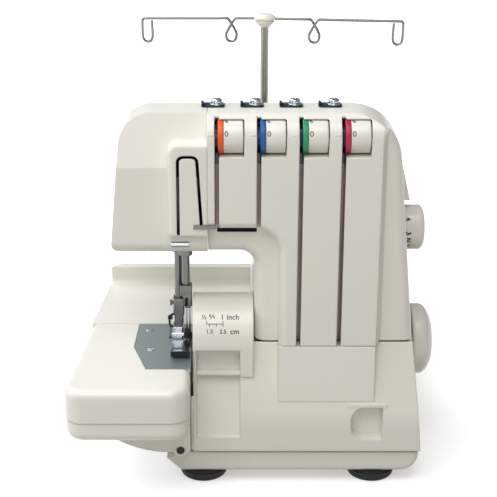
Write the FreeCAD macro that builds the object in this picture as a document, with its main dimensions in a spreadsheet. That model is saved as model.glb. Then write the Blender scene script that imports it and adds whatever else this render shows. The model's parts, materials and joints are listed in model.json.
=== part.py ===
"""Four-thread serger: moulded covers, cast chassis, needle, looper and thread paths.

X runs to the right, Y to the back and Z up; the machine stands on Z = 0.
"""
import FreeCAD, Part
import math
import os
import re
import Sketcher

SIZES = {
    # outer reach of the machine
    "bed_left": -140.6, "bed_left_rear": -119, "wheel_end": 140, "table_front": -145,
    "stand_rear": 145, "bed_top": 105, "top_z": 290,
    # mouldings
    "wall": 3, "over": 1, "seam_gap": 0.4, "split_y": -44, "body_rear": 62, "arm_rear": 20,
    "foot_height": 10, "foot_radius": 17.5, "foot_tip_radius": 15.5, "foot_left_x": -40,
    "foot_right_x": 90, "foot_front_y": -73, "foot_rear_y": 45, "base_top": 27, "base_left": -54,
    "base_toe_left": -68, "base_toe_z": 22,
    "base_right": 125, "base_front": -92, "base_taper": 13, "base_corner": 14, "base_edge_round": 4,
    "arm_left": -107, "arm_left_top": -98, "arm_bottom": 185, "throat_x": -1.6, "bed_bottom": 64,
    "right_bottom": 126, "right_top": 101.5, "top_drop": 34, "top_left_round": 24,
    "top_right_round": 36, "throat_round": 11, "arm_corner_round": 8, "cavity_drop": 38,
    "shoulder_drop": 75, "shoulder_in": 34, "window_half": 38,
    # upper front panel
    "panel_left": -35.5, "panel_right": 89, "panel_front": -88, "panel_step": 10,
    "column_edge": 16.5, "band_top": 207, "seam_z": 114.5, "panel_top_round": 18,
    "panel_inner_round": 20, "panel_soft_round": 6, "ridge_lean": 4, "shoulder_round": 7,
    "throat_edge_round": 9, "slot_first": -29, "slot_pitch": 30.1, "slot_width": 3.2,
    "slot_depth": 12, "rib_half": 5, "cavity_top": 250, "band_slot_low": 202,
    "band_slot_high": 205.5, "band_slot_depth": 6, "band_slot_length": 29,
    # tension dials
    "dial_y": -76.5, "dial_z": 274.5, "dial_radius": 12.2, "ring_radius": 12.5, "ring_width": 4.1,
    "dial_width": 14.1, "dial_offset": 0.7, "window_width": 19.4, "axle_radius": 2, "fit": 0.05,
    "disc_radius": 9, "disc_thickness": 0.6, "disc_gap": 0.5, "disc_shift": -0.5,
    # face cover of the head
    "face_front": -82, "facet_z": 252, "facet_back": 14, "face_edge_round": 10, "bulge_left": -64.5,
    "bulge_low": 200, "bulge_top": 272, "bulge_front": -88, "bulge_round": 4, "arch_left": -58,
    "arch_right": -42, "arch_slot": 2.2, "arch_round": 5, "arch_lean": 3, "arch_top": 263,
    "arch_low_left": 203, "arch_low_right": 208, "bar_window_left": -64, "bar_window_right": -46,
    "bar_window_front": -63,
    # lower front cover
    "cover_left": -47.5, "cover_foot": 29, "flare_y": -91.5, "flare_z": 70, "belly_y": -94.5,
    "belly_high": 50, "cover_round": 68, "hinge_y": -90, "hinge_z": 33.5, "lug_radius": 2.8,
    "lug_width": 6, "lug_bridge": 2, "lug_web_front": 5.5, "lug_web_rear": 9.5, "pin_radius": 1.5,
    "lug_left_x": -31, "lug_right_x": 101, "lug_notch_top": 40, "name_panel_low": 70,
    "ruler_y": -57, "ruler_z": 113, "ruler_radius": 30, "ruler_skin": 2.5, "ruler_rear_rise": 10,
    "pillar_low": 88, "mouth_high": 110, "chute_top": 96, "chute_top_y": -76,
    "chute_low": 41, "chute_low_y": -93.5, "chute_skin": 2.5, "ledge_low": 88, "ledge_high": 91,
    "ledge_front": -84, "mouth_back": 112, "chute_left": -45, "chute_right": -12, "finger_left": 72,
    "finger_right": 96, "finger_low": 39, "finger_high": 65, "finger_depth": 10, "finger_round": 10,
    # swinging cloth plate and fixed bed
    "table_right": -48.9, "table_bottom": 64, "table_split_y": -27, "plate_front": -107,
    "table_corner": 14, "table_under_round": 7, "bed_corner_round": 14, "table_edge": 6,
    "table_groove_z": 80, "table_groove": 0.6, "belly_front": -101, "belly_left": -131,
    "belly_bottom": 32, "belly_flat_x": -67, "belly_radius": 80, "swing_x": -57, "swing_z": 33.5,
    "barrel_radius": 6, "barrel_length": 12, "swing_lug_inset": 0.8, "swing_pin_radius": 3,
    "swing_pin_end": -76, "swing_lug_front": -86, "swing_lug_rear": -77, "rim_front": 54,
    "rim_top": 120, "rim_round": 5,
    # needle plate
    "plate_thickness": 3, "plate_left_rear": -90.4, "plate_left_mid": -92.2, "plate_mid_y": -69,
    "plate_left_front": -81, "plate_right": -48.8, "plate_screw_radius": 3, "plate_screw_rise": 0.6,
    "screw_rear_x": -82.4, "screw_rear_y": -39, "screw_front_x": -79.2, "screw_front_y": -74,
    "feed_slot_margin": 2.4,
    # needle, presser foot and knives
    "needle_x": -51.5, "needle_y": -57, "needle_spacing": 2.3, "needle_radius": 0.6,
    "needle_tip": 109, "needle_bar_x": -53, "bar_radius": 3, "needle_bar_top": 248,
    "clamp_low": 133, "clamp_high": 152, "clamp_left": -57.5, "clamp_right": -48.4,
    "clamp_front": -61.5, "clamp_rear": -53.7, "clamp_screw_radius": 1.4, "clamp_screw_length": 3,
    "clamp_screw_low": 4.2, "clamp_screw_pitch": 3.5,
    "presser_x": -58.8, "presser_y": -49, "presser_bar_low": 126, "presser_bar_top": 236,
    "foot_left": -64, "foot_right": -49.3, "foot_toe": -86, "foot_heel": -38, "foot_sole": 4,
    "foot_gap": 0.9, "toe_rise": 2, "holder_low": 112, "holder_high": 138, "holder_half": 4.2,
    "bush_radius": 4.4, "bush_low": 176, "bush_high": 196, "blade_gap": 0.15,
    "blade_thickness": 1.2, "lower_blade_low": 88, "blade_front": -67, "blade_rear": -58.5,
    "upper_blade_low": 92, "upper_blade_top": 116,
    # loopers and knife drive
    "crank_radius": 4, "lug_front": -54, "lug_rear": -45, "lower_looper_x": -27,
    "lower_looper_z": 47, "upper_looper_x": -12, "upper_looper_z": 64, "knife_x": 3, "knife_z": 86,
    "lever_thickness": 4, "knife_arm_front": -58.5, "lower_lever_front": -63.5,
    "upper_lever_front": -69, "lug_wall": 4, "lower_lean": 8, "lower_rise": 41, "lower_head": 6,
    "lower_tip": 20, "lower_neck": 14, "upper_lean": 14, "upper_rise": 52, "upper_head": 12,
    "upper_tip": 27, "upper_neck": 11, "hook_drop": 2, "hook_thickness": 2.5,
    # feed dogs
    "main_dog_left": -66, "diff_dog_left": -60, "dog_width": 5, "dog_gap": 0.3, "dog_bar_height": 9,
    "main_teeth_front": -52, "main_teeth_rear": -34, "diff_teeth_front": -82,
    "diff_teeth_rear": -62, "dog_rear": -14, "tooth_rise": 0.6,
    # drive
    "shaft_y": -17, "shaft_z": 88, "shaft_radius": 5, "shaft_left": 7, "wheel_left": 123.6,
    "wheel_radius": 28, "wheel_round": 9, "wheel_hollow": 4, "motor_y": 25, "motor_z": 66,
    "motor_radius": 24, "motor_left": 25, "motor_right": 75, "pulley_left": 82, "pulley_width": 9,
    "shaft_pulley_radius": 20, "motor_pulley_radius": 7, "motor_shaft": 4, "belt_gap": 0.3,
    "belt_thickness": 2, "belt_width": 6,
    # chassis
    "chassis_left": 11, "chassis_left_end": 18, "chassis_right": 96, "chassis_right_end": 102,
    "chassis_front": -38, "chassis_rear": 42, "chassis_floor": 6, "arm_beam_low": 214,
    "arm_beam_high": 240, "arm_beam_front": -38, "arm_beam_rear": -18, "head_left": -71,
    "head_right": -43, "head_front": -66, "head_low": 194, "bed_beam_low": 68, "bed_beam_high": 78,
    "bed_beam_front": -24, "bed_beam_rear": -10, "post_left": -80, "post_right": -69,
    "rest_front": -39,
    # side controls
    "stitch_z": 183, "stitch_radius": 17.5, "stitch_left": 114, "stitch_end": 130.4,
    "stitch_round": 2.5, "stitch_shaft": 3, "side_shaft_end": 107, "lever_shaft_end": 101,
    "lever_z": 233, "lever_low": 207, "lever_top": 239, "lever_left": 109.8, "lever_tip": 118.3,
    "lever_edge": 1, "lever_half": 6, "lever_pin": 2.5, "inlet_front": 20, "inlet_rear": 50,
    "inlet_low": 40, "inlet_high": 62, "inlet_left": 109, "inlet_right": 125.6,
    "rocker_front": 22.5, "rocker_rear": 32.5, "rocker_low": 44, "rocker_high": 58,
    "rocker_rise": 1.6, "rocker_gap": 0.5, "socket_depth": 9, "rocker_pin": 1.5,
    # foot lifter
    "lifter_x": -58.8, "lifter_z": 214, "lifter_shaft": 4, "lifter_inner": 2,
    "lifter_handle_front": 21, "lifter_handle_rear": 27, "lifter_reach": 40, "lifter_half": 4.5,
    # thread stand
    "stand_left": -109, "stand_right": 124, "stand_low": 36, "stand_thickness": 8,
    "stand_corner": 18, "stand_lip_low": 30, "stand_lip_high": 58, "stand_lip_depth": 4,
    "spool_y": 106, "spool_first": -86, "spool_pitch": 67.5, "spool_pin_radius": 3.2,
    "spool_pin_top": 97, "spool_seat_radius": 15, "spool_seat": 2, "pole_x": 8.6, "pole_y": 86,
    "tube_radius": 4.6, "tube_top": 200, "collar_radius": 9, "collar_height": 14, "rod_radius": 3.3,
    "rod_low": 150, "rod_top": 321, "cap_half": 8.8, "cap_low": 318, "cap_top": 329,
    "cap_depth_half": 7, "bar_z": 325, "wire_radius": 1.4, "eyelet_half": 3.4,
    "eyelet_straight": 14,
    # thread guides
    "guide_first": -31.9, "guide_pitch": 28.3, "guide_y": -52, "guide_length": 17,
    "guide_depth": 11, "guide_thickness": 1.2, "guide_cap_radius": 5.2, "guide_cap_height": 4.5,
    "guide_post_radius": 1, "guide_post_height": 2.5, "arm_guide_left": -46, "arm_guide_right": -30,
    "arm_guide_low": 208, "arm_guide_high": 211, "arm_guide_thickness": 1,
}

doc = FreeCAD.newDocument("serger")
sheet = doc.addObject("Spreadsheet::Sheet", "sizes")
for row, (alias, value) in enumerate(SIZES.items(), start=1):
    sheet.set(f"A{row}", str(value))
    sheet.setAlias(f"A{row}", alias)
doc.recompute()

WORD = re.compile(r"[A-Za-z_][A-Za-z_0-9]*")
LONG_EDGE = 30
NODES = []


def bound(text):
    """Return an expression in which every size name points at the sheet."""
    return WORD.sub(lambda m: f"sizes.{m.group(0)}" if m.group(0) in SIZES else m.group(0), str(text))


def number(text):
    """Return the present value of an expression of size names."""
    return float(sheet.evalExpression(bound(text)))


def right_side(height):
    """Return the X of the leaning right side at a height."""
    return f"(right_bottom - ({height} - base_top) * (right_bottom - right_top) / (top_z - base_top))"


def left_side(height):
    """Return the X of the leaning left end of the arm at a height."""
    lean = "(arm_left_top - arm_left) / (top_z - arm_bottom)"
    return f"(arm_left + ({height} - arm_bottom) * {lean})"


def bed_edge(depth):
    """Return the X of the tapering left edge of the bed at a depth Y."""
    taper = "(bed_left_rear - bed_left) / (body_rear - table_front)"
    return f"(bed_left + ({depth} - table_front) * {taper})"


RULER_RIGHT = "(throat_x - seam_gap)"
COVER_REACH = "sqrt((panel_front - hinge_y)^2 + (seam_z - seam_gap - hinge_z)^2)"


def cover_rim(depth, gap="0"):
    """Return the Z that the top edge of the swinging lower cover sweeps at a depth Y."""
    return f"(hinge_z + sqrt(({COVER_REACH} + {gap})^2 - ({depth} - hinge_y)^2))"


def slot_x(index):
    """Return the X of one thread slot."""
    return f"(slot_first + {index} * slot_pitch)"


# Sketches and features

def new_body(label):
    """Start a body that is handed over as one node."""
    body = doc.addObject("PartDesign::Body", label)
    NODES.append(body)
    return body


def new_sketch(body, name, plane, place):
    """Attach a sketch to an origin plane of the body, moved along the plane's normal axis."""
    sketch = body.newObject("Sketcher::SketchObject", name)
    support = next(f for f in body.Origin.OriginFeatures if f.Role == plane)
    sketch.AttachmentSupport = [(support, "")]
    sketch.MapMode = "FlatFace"
    sign = "-" if plane == "XZ_Plane" else ""
    sketch.setExpression("AttachmentOffset.Base.z", bound(f"{sign}({place})"))
    return sketch


def arc_through(start, end, radius):
    """Return the short anticlockwise arc from start to end."""
    chord = end - start
    middle = (start + end) * 0.5
    half = chord.Length / 2
    normal = FreeCAD.Vector(-chord.y, chord.x, 0).normalize()
    centre = middle + normal * math.sqrt(max(radius ** 2 - half ** 2, 0))
    first = math.atan2(start.y - centre.y, start.x - centre.x)
    last = math.atan2(end.y - centre.y, end.x - centre.x)
    circle = Part.Circle(centre, FreeCAD.Vector(0, 0, 1), radius)
    return Part.ArcOfCircle(circle, first, last)


def outline(sketch, corners, arcs=None, hollows=None):
    """Draw a closed anticlockwise outline.

    arcs maps a side's index to its radius where it bulges out, hollows where it curves in.
    """
    arcs = arcs or {}
    hollows = hollows or {}
    points = [FreeCAD.Vector(number(x), number(y), 0) for x, y in corners]
    count = len(points)
    sides = []
    for i, point in enumerate(points):
        following = points[(i + 1) % count]
        if i in arcs:
            shape, start, end = arc_through(point, following, number(arcs[i])), 1, 2
        elif i in hollows:
            shape, start, end = arc_through(following, point, number(hollows[i])), 2, 1
        else:
            shape, start, end = Part.LineSegment(point, following), 1, 2
        sides.append((sketch.addGeometry(shape), start, end))
    for i, (side, start, end) in enumerate(sides):
        after, after_start, after_end = sides[(i + 1) % count]
        sketch.addConstraint(Sketcher.Constraint("Coincident", side, end, after, after_start))
    for (side, start, end), (x, y), point in zip(sides, corners, points):
        across = sketch.addConstraint(Sketcher.Constraint("DistanceX", -1, 1, side, start, point.x))
        sketch.setExpression(f"Constraints[{across}]", bound(x))
        up = sketch.addConstraint(Sketcher.Constraint("DistanceY", -1, 1, side, start, point.y))
        sketch.setExpression(f"Constraints[{up}]", bound(y))
    for i, radius in {**arcs, **hollows}.items():
        size = sketch.addConstraint(Sketcher.Constraint("Radius", sides[i][0], number(radius)))
        sketch.setExpression(f"Constraints[{size}]", bound(radius))


def box_corners(x0, y0, x1, y1):
    """Return the corners of an upright rectangle."""
    return [(x0, y0), (x1, y0), (x1, y1), (x0, y1)]


def ring(sketch, x, y, radius):
    """Draw a circle."""
    centre = FreeCAD.Vector(number(x), number(y), 0)
    circle = sketch.addGeometry(Part.Circle(centre, FreeCAD.Vector(0, 0, 1), number(radius)))
    across = sketch.addConstraint(Sketcher.Constraint("DistanceX", -1, 1, circle, 3, centre.x))
    sketch.setExpression(f"Constraints[{across}]", bound(x))
    up = sketch.addConstraint(Sketcher.Constraint("DistanceY", -1, 1, circle, 3, centre.y))
    sketch.setExpression(f"Constraints[{up}]", bound(y))
    size = sketch.addConstraint(Sketcher.Constraint("Radius", circle, number(radius)))
    sketch.setExpression(f"Constraints[{size}]", bound(radius))


def extrude(kind, body, name, plane, start, end, draw):
    """Pad or pocket what draw puts in a sketch, from start to end along the plane's axis."""
    before = body.Tip.Shape.Volume if body.Tip else 0
    sketch = new_sketch(body, f"{name}_sketch", plane, start)
    draw(sketch)
    feature = body.newObject(f"PartDesign::{kind}", name)
    feature.Profile = sketch
    feature.setExpression("Length", bound(f"{end} - ({start})"))
    feature.Reversed = (plane == "XZ_Plane") == (kind == "Pad")
    doc.recompute()
    if abs(feature.Shape.Volume - before) < 0.01:
        raise RuntimeError(f"{name} changed nothing")
    if not feature.Shape.isValid():
        raise RuntimeError(f"{name} is not valid")
    return feature


def pad(body, name, plane, start, end, corners, **curves):
    """Pad one outline."""
    return extrude("Pad", body, name, plane, start, end, lambda s: outline(s, corners, **curves))


def pocket(body, name, plane, start, end, corners, **curves):
    """Cut one outline away."""
    return extrude("Pocket", body, name, plane, start, end, lambda s: outline(s, corners, **curves))


def pockets(body, name, plane, start, end, outlines):
    """Cut several outlines away in one feature."""
    def draw(sketch):
        for corners in outlines:
            outline(sketch, corners)
    return extrude("Pocket", body, name, plane, start, end, draw)


def bore(body, name, plane, start, end, x, y, radius):
    """Cut a round hole."""
    return extrude("Pocket", body, name, plane, start, end, lambda s: ring(s, x, y, radius))


def boss(body, name, plane, start, end, x, y, radius):
    """Pad a round boss."""
    return extrude("Pad", body, name, plane, start, end, lambda s: ring(s, x, y, radius))


def edge_at(**place):
    """Return a test for edges whose whole length lies at the given coordinates."""
    wanted = {axis.upper(): number(text) for axis, text in place.items()}

    def test(edge):
        box = edge.BoundBox
        return all(abs(getattr(box, f"{axis}Min") - value) < 0.02
                   and abs(getattr(box, f"{axis}Max") - value) < 0.02
                   for axis, value in wanted.items())
    return test


def fillet(body, name, radius, test):
    """Round the edges of the body that pass the test."""
    base = body.Tip
    edges = [f"Edge{i}" for i, edge in enumerate(base.Shape.Edges, start=1) if test(edge)]
    if not edges:
        raise RuntimeError(f"{name} found no edge")
    feature = body.newObject("PartDesign::Fillet", name)
    feature.Base = (base, edges)
    feature.setExpression("Radius", bound(radius))
    doc.recompute()
    if "Invalid" in feature.State or feature.Shape.isNull():
        raise RuntimeError(f"{name} failed on {edges}")
    if not feature.Shape.isValid():
        raise RuntimeError(f"{name} is not valid")
    return feature


# Primitives and booleans

TURNS = {
    "X": FreeCAD.Rotation(FreeCAD.Vector(0, 1, 0), 90),
    "Y": FreeCAD.Rotation(FreeCAD.Vector(1, 0, 0), -90),
    "Z": FreeCAD.Rotation(),
}


def place(item, x, y, z, axis="Z"):
    """Bind an object's place to size expressions, turned so that its own Z lies along axis."""
    item.Placement = FreeCAD.Placement(FreeCAD.Vector(), TURNS[axis])
    for letter, text in zip("xyz", (x, y, z)):
        item.setExpression(f"Placement.Base.{letter}", bound(text))
    return item


def along(axis, start, a, b):
    """Return x, y and z of a point at start on an axis line through a and b."""
    return {"X": (start, a, b), "Y": (a, start, b), "Z": (a, b, start)}[axis]


def rod(name, axis, start, end, a, b, radius):
    """Make a cylinder along an axis."""
    item = doc.addObject("Part::Cylinder", name)
    item.setExpression("Radius", bound(radius))
    item.setExpression("Height", bound(f"{end} - ({start})"))
    return place(item, *along(axis, start, a, b), axis)


def taper(name, axis, start, end, a, b, radius_start, radius_end):
    """Make a cone along an axis."""
    item = doc.addObject("Part::Cone", name)
    item.setExpression("Radius1", bound(radius_start))
    item.setExpression("Radius2", bound(radius_end))
    item.setExpression("Height", bound(f"{end} - ({start})"))
    return place(item, *along(axis, start, a, b), axis)


def block(name, x0, x1, y0, y1, z0, z1):
    """Make a box between six planes."""
    item = doc.addObject("Part::Box", name)
    item.setExpression("Length", bound(f"{x1} - ({x0})"))
    item.setExpression("Width", bound(f"{y1} - ({y0})"))
    item.setExpression("Height", bound(f"{z1} - ({z0})"))
    return place(item, x0, y0, z0)


def fuse(name, *items):
    """Join solids into one."""
    item = doc.addObject("Part::MultiFuse", name)
    item.Shapes = list(items)
    item.Refine = True
    return item


def cut(name, base, *tools):
    """Take tools away from a base."""
    for i, tool in enumerate(tools):
        item = doc.addObject("Part::Cut", name if i == len(tools) - 1 else f"{name}_step{i}")
        item.Base = base
        item.Tool = tool
        base = item
    return base


def group(name, *items):
    """Keep like pieces together in one node."""
    item = doc.addObject("Part::Compound", name)
    item.Links = list(items)
    return item


def node(item):
    """Hand an object over as one node."""
    NODES.append(item)
    return item


# Base and feet

def make_base_pan():
    """Tray under the machine, with lugs for the two hinged covers."""
    body = new_body("base_pan")
    pad(body, "base_block", "XZ_Plane", "base_front", "body_rear", [
        ("base_toe_left + base_taper", "foot_height"), ("base_right", "foot_height"),
        ("base_right", "base_top"), ("base_left", "base_top"), ("base_toe_left", "base_toe_z")])
    fillet(body, "base_corner_round", "base_corner", edge_at(x="base_right", z="foot_height"))
    fillet(body, "base_front_round", "base_edge_round", edge_at(y="base_front", z="foot_height"))
    pocket(body, "base_hollow", "XY_Plane", "foot_height + wall", "base_top + over", box_corners(
        "base_left + wall", "base_front + wall",
        "base_right - base_corner", "body_rear - wall"))
    for side in ("left", "right"):
        lug_start, lug_end = f"lug_{side}_x", f"lug_{side}_x + lug_width"
        web_front, web_rear = "hinge_y + lug_web_front", "hinge_y + lug_web_rear"
        pad(body, f"{side}_lug_web", "YZ_Plane", lug_start, lug_end, [
            ("hinge_y", "hinge_z - lug_bridge"), (web_front, "hinge_z - lug_bridge"),
            (web_front, "foot_height + wall / 2"), (web_rear, "foot_height + wall / 2"),
            (web_rear, "hinge_z + lug_radius"), ("hinge_y", "hinge_z + lug_radius")])
        boss(body, f"{side}_lug", "YZ_Plane", lug_start, lug_end, "hinge_y", "hinge_z", "lug_radius")
        bore(body, f"{side}_lug_bore", "YZ_Plane", f"{lug_start} - over", f"{lug_end} + over",
             "hinge_y", "hinge_z", "pin_radius + fit")
    pad(body, "swing_lug_web", "XZ_Plane", "swing_lug_front", "swing_lug_rear", [
        ("base_left + wall", "base_top - 2 * wall"), ("base_left + wall", "base_top"),
        ("swing_x + wall", "swing_z"), ("swing_x - wall", "swing_z"), ("swing_x", "base_top - 2 * wall")])
    boss(body, "swing_lug", "XZ_Plane", "swing_lug_front", "swing_lug_rear",
         "swing_x", "swing_z", "barrel_radius - swing_lug_inset")
    bore(body, "swing_lug_bore", "XZ_Plane", "swing_lug_front - over", "swing_lug_rear + over",
         "swing_x", "swing_z", "swing_pin_radius + fit")


def make_rubber_feet():
    """Four tapered rubber feet."""
    feet = []
    for x in ("foot_left_x", "foot_right_x"):
        for y in ("foot_front_y", "foot_rear_y"):
            feet.append(taper(f"foot_{len(feet)}", "Z", "0", "foot_height", x, y,
                              "foot_tip_radius", "foot_radius"))
    node(group("rubber_feet", *feet))


# Housing

def make_rear_housing():
    """Column, arm and lower back in one hollow moulding, open to the front."""
    body = new_body("rear_housing")
    pad(body, "column", "XZ_Plane", "split_y", "body_rear", [
        ("base_left", "base_top"), ("right_bottom", "base_top"), ("right_top", "top_z"),
        ("throat_x", "top_z"), ("throat_x", "bed_bottom - seam_gap"),
        ("base_left", "bed_bottom - seam_gap")])
    pad(body, "arm", "XZ_Plane", "split_y", "arm_rear", [
        ("arm_left", "arm_bottom"), ("throat_x + wall", "arm_bottom"), ("throat_x + wall", "top_z"),
        ("arm_left_top", "top_z")])
    pocket(body, "top_slope", "YZ_Plane", "arm_left - over", "right_bottom + over", [
        ("split_y", "top_z"), ("body_rear + over", "top_z - top_drop"),
        ("body_rear + over", "top_z + over"), ("split_y", "top_z + over")])
    left_top = number("arm_left_top")
    right_top = number("right_top")
    crown = number("top_z - top_drop")
    fillet(body, "top_left", "top_left_round",
           lambda e: abs(e.CenterOfMass.x - left_top) < 2 and e.CenterOfMass.z > crown
           and e.BoundBox.YLength > LONG_EDGE)
    fillet(body, "top_right", "top_right_round",
           lambda e: abs(e.CenterOfMass.x - right_top) < 3 and e.CenterOfMass.z > crown
           and e.BoundBox.YLength > LONG_EDGE)
    fillet(body, "throat_corner", "throat_round", edge_at(x="throat_x", z="arm_bottom"))
    fillet(body, "arm_corner", "arm_corner_round", edge_at(x="arm_left", z="arm_bottom"))
    shoulder = "top_z - shoulder_drop"
    ceiling = "top_z - cavity_drop"
    pocket(body, "column_cavity", "XZ_Plane", "split_y", "body_rear - wall", [
        ("throat_x + wall", "base_top + wall"), ("right_bottom - 2 * wall", "base_top + wall"),
        (f"{right_side(shoulder)} - wall", shoulder), ("right_top - shoulder_in", ceiling),
        ("throat_x + wall", ceiling)])
    pocket(body, "lower_cavity", "XZ_Plane", "split_y", "body_rear - wall", box_corners(
        "base_left + wall", "base_top + wall", "throat_x + wall + over", "bed_bottom - seam_gap - wall"))
    pocket(body, "arm_cavity", "XZ_Plane", "split_y", "arm_rear - wall", [
        ("arm_left + 2 * wall", "arm_bottom + wall"), ("throat_x + wall + over", "arm_bottom + wall"),
        ("throat_x + wall + over", ceiling), ("arm_left_top + top_left_round - wall", ceiling),
        (f"{left_side('top_z - 2 * top_left_round')} + wall", "top_z - 2 * top_left_round")])
    pocket(body, "bed_window", "YZ_Plane", "throat_x - over", "throat_x + wall + over", box_corners(
        "-window_half", "bed_bottom + wall", "window_half", "bed_top - wall - plate_thickness"))
    bore(body, "shaft_hole", "YZ_Plane", "right_top", "right_bottom + over",
         "shaft_y", "shaft_z", "shaft_radius + over")
    bore(body, "stitch_hole", "YZ_Plane", "side_shaft_end - wall", "right_bottom + over",
         "shaft_y", "stitch_z", "stitch_shaft + fit")
    bore(body, "side_lever_hole", "YZ_Plane", "lever_shaft_end - wall", "right_bottom + over",
         "shaft_y", "lever_z", "lever_pin + fit")
    bore(body, "lifter_hole", "XZ_Plane", "arm_rear - wall - over", "arm_rear + over",
         "lifter_x", "lifter_z", "lifter_shaft + fit")
    pocket(body, "inlet_hole", "YZ_Plane", "inlet_left", "right_bottom + over", box_corners(
        "inlet_front - fit", "inlet_low - fit", "inlet_rear + fit", "inlet_high + fit"))


def make_front_panel():
    """Upper front cover with four thread slots and four dial windows."""
    body = new_body("front_panel")
    pad(body, "panel_block", "XZ_Plane", "panel_front", "split_y", [
        ("panel_left", "arm_bottom"), ("throat_x", "arm_bottom"), ("throat_x", "seam_z"),
        (right_side("seam_z"), "seam_z"), ("right_top", "top_z"), ("panel_left", "top_z")])
    fillet(body, "panel_corner", "top_right_round", edge_at(x="right_top", z="top_z"))
    fillet(body, "panel_throat", "throat_round", edge_at(x="throat_x", z="arm_bottom"))
    pocket(body, "top_front", "YZ_Plane", "panel_left - over", "right_bottom + over", [
        ("panel_front", "top_z - panel_top_round"), ("panel_front + panel_top_round", "top_z"),
        ("panel_front + panel_top_round", "top_z + over"), ("panel_front - over", "top_z + over"),
        ("panel_front - over", "top_z - panel_top_round")], hollows={0: "panel_top_round"})
    step = "panel_front + panel_step"
    pocket(body, "shoulder_step", "XY_Plane", "seam_z - over", "top_z + over", [
        ("panel_right", "panel_front - over"), ("right_bottom + over", "panel_front - over"),
        ("right_bottom + over", step), ("panel_right + ridge_lean", step), ("panel_right", "panel_front")])
    pocket(body, "band_step", "XZ_Plane", "panel_front - over", step, box_corners(
        "panel_left - over", "seam_z - over", "column_edge", "band_top"))
    fillet(body, "inner_corner", "panel_inner_round", edge_at(x="column_edge", z="band_top"))
    edge_limit = number("column_edge + panel_inner_round")
    on_front = edge_at(y="panel_front")
    fillet(body, "panel_soft_edge", "panel_soft_round",
           lambda e: on_front(e) and e.CenterOfMass.x < edge_limit and (
               edge_at(z="band_top")(e) or edge_at(x="column_edge")(e)))
    on_step = edge_at(y=step)
    right_limit = number("panel_right + ridge_lean + over")
    fillet(body, "shoulder_edge", "shoulder_round",
           lambda e: on_step(e) and e.CenterOfMass.x > right_limit and e.BoundBox.ZLength > LONG_EDGE)
    fillet(body, "throat_edge", "throat_edge_round",
           lambda e: on_step(e) and edge_at(x="throat_x")(e))
    tab_front, tab_rear = f"{step} + wall", "split_y"
    pad(body, "end_tab", "YZ_Plane", f"{right_side('seam_z')} - wall", "right_bottom", [
        (tab_front, "seam_z + over"), (tab_front, cover_rim(tab_front, "seam_gap")),
        (tab_rear, cover_rim(tab_rear, "seam_gap")), (tab_rear, "seam_z + over")],
        hollows={1: f"{COVER_REACH} + seam_gap"})
    lean_top = "seam_z + 2 * over"
    pocket(body, "end_tab_lean", "XZ_Plane", f"{step} - over", "split_y + over", [
        ("right_bottom", "base_top"), ("right_bottom + over", "base_top"), ("right_bottom + over", lean_top),
        (right_side(lean_top), lean_top)])
    half = "slot_width / 2"
    for i in range(4):
        slot = slot_x(i)
        low = "band_top - over" if i < 2 else "seam_z - over"
        pocket(body, f"thread_slot_{i}", "XZ_Plane", "panel_front - over", "panel_front + slot_depth",
               box_corners(f"{slot} - {half}", low, f"{slot} + {half}", "top_z + over"))
        pocket(body, f"dial_window_{i}", "XZ_Plane", "panel_front - over", "split_y + over",
               box_corners(f"{slot} - {half}", "dial_z - ring_radius - seam_gap",
                           f"{slot} + window_width", "dial_z + ring_radius + seam_gap"))
    pocket(body, "band_slot", "XZ_Plane", f"{step} - over", f"{step} + band_slot_depth", box_corners(
        f"{slot_x(0)}", "band_slot_low", f"{slot_x(0)} + band_slot_length", "band_slot_high"))
    arm_low = "band_top + 2 * wall"
    pockets(body, "panel_cavities", "XZ_Plane", "panel_front + wall", "split_y + over", [
        box_corners(f"{slot_x(0)} + rib_half", arm_low, f"{slot_x(1)} - rib_half", "cavity_top"),
        box_corners(f"{slot_x(1)} + rib_half", arm_low, f"{slot_x(2)} - rib_half", "cavity_top"),
        box_corners(f"{slot_x(2)} + rib_half", "seam_z + wall", f"{slot_x(3)} - rib_half", "cavity_top"),
        box_corners(f"{slot_x(3)} + rib_half", "seam_z + wall", "panel_right - wall", "cavity_top")])
    pockets(body, "step_cavities", "XZ_Plane", f"{step} + wall", "split_y + over", [
        box_corners("throat_x + 3 * wall", "seam_z + wall", f"{slot_x(2)} - rib_half", "band_top"),
        [("panel_right + wall", "seam_z + wall"), (f"{right_side('seam_z')} - 2 * wall", "seam_z + wall"),
         (f"{right_side('cavity_top')} - 2 * wall - panel_step / 2", "cavity_top"),
         ("panel_right + wall", "cavity_top")]])
    bore(body, "axle_bore", "YZ_Plane", "panel_left - over", f"{slot_x(3)} + window_width + 2 * wall",
         "dial_y", "dial_z", "axle_radius + fit")


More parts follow.
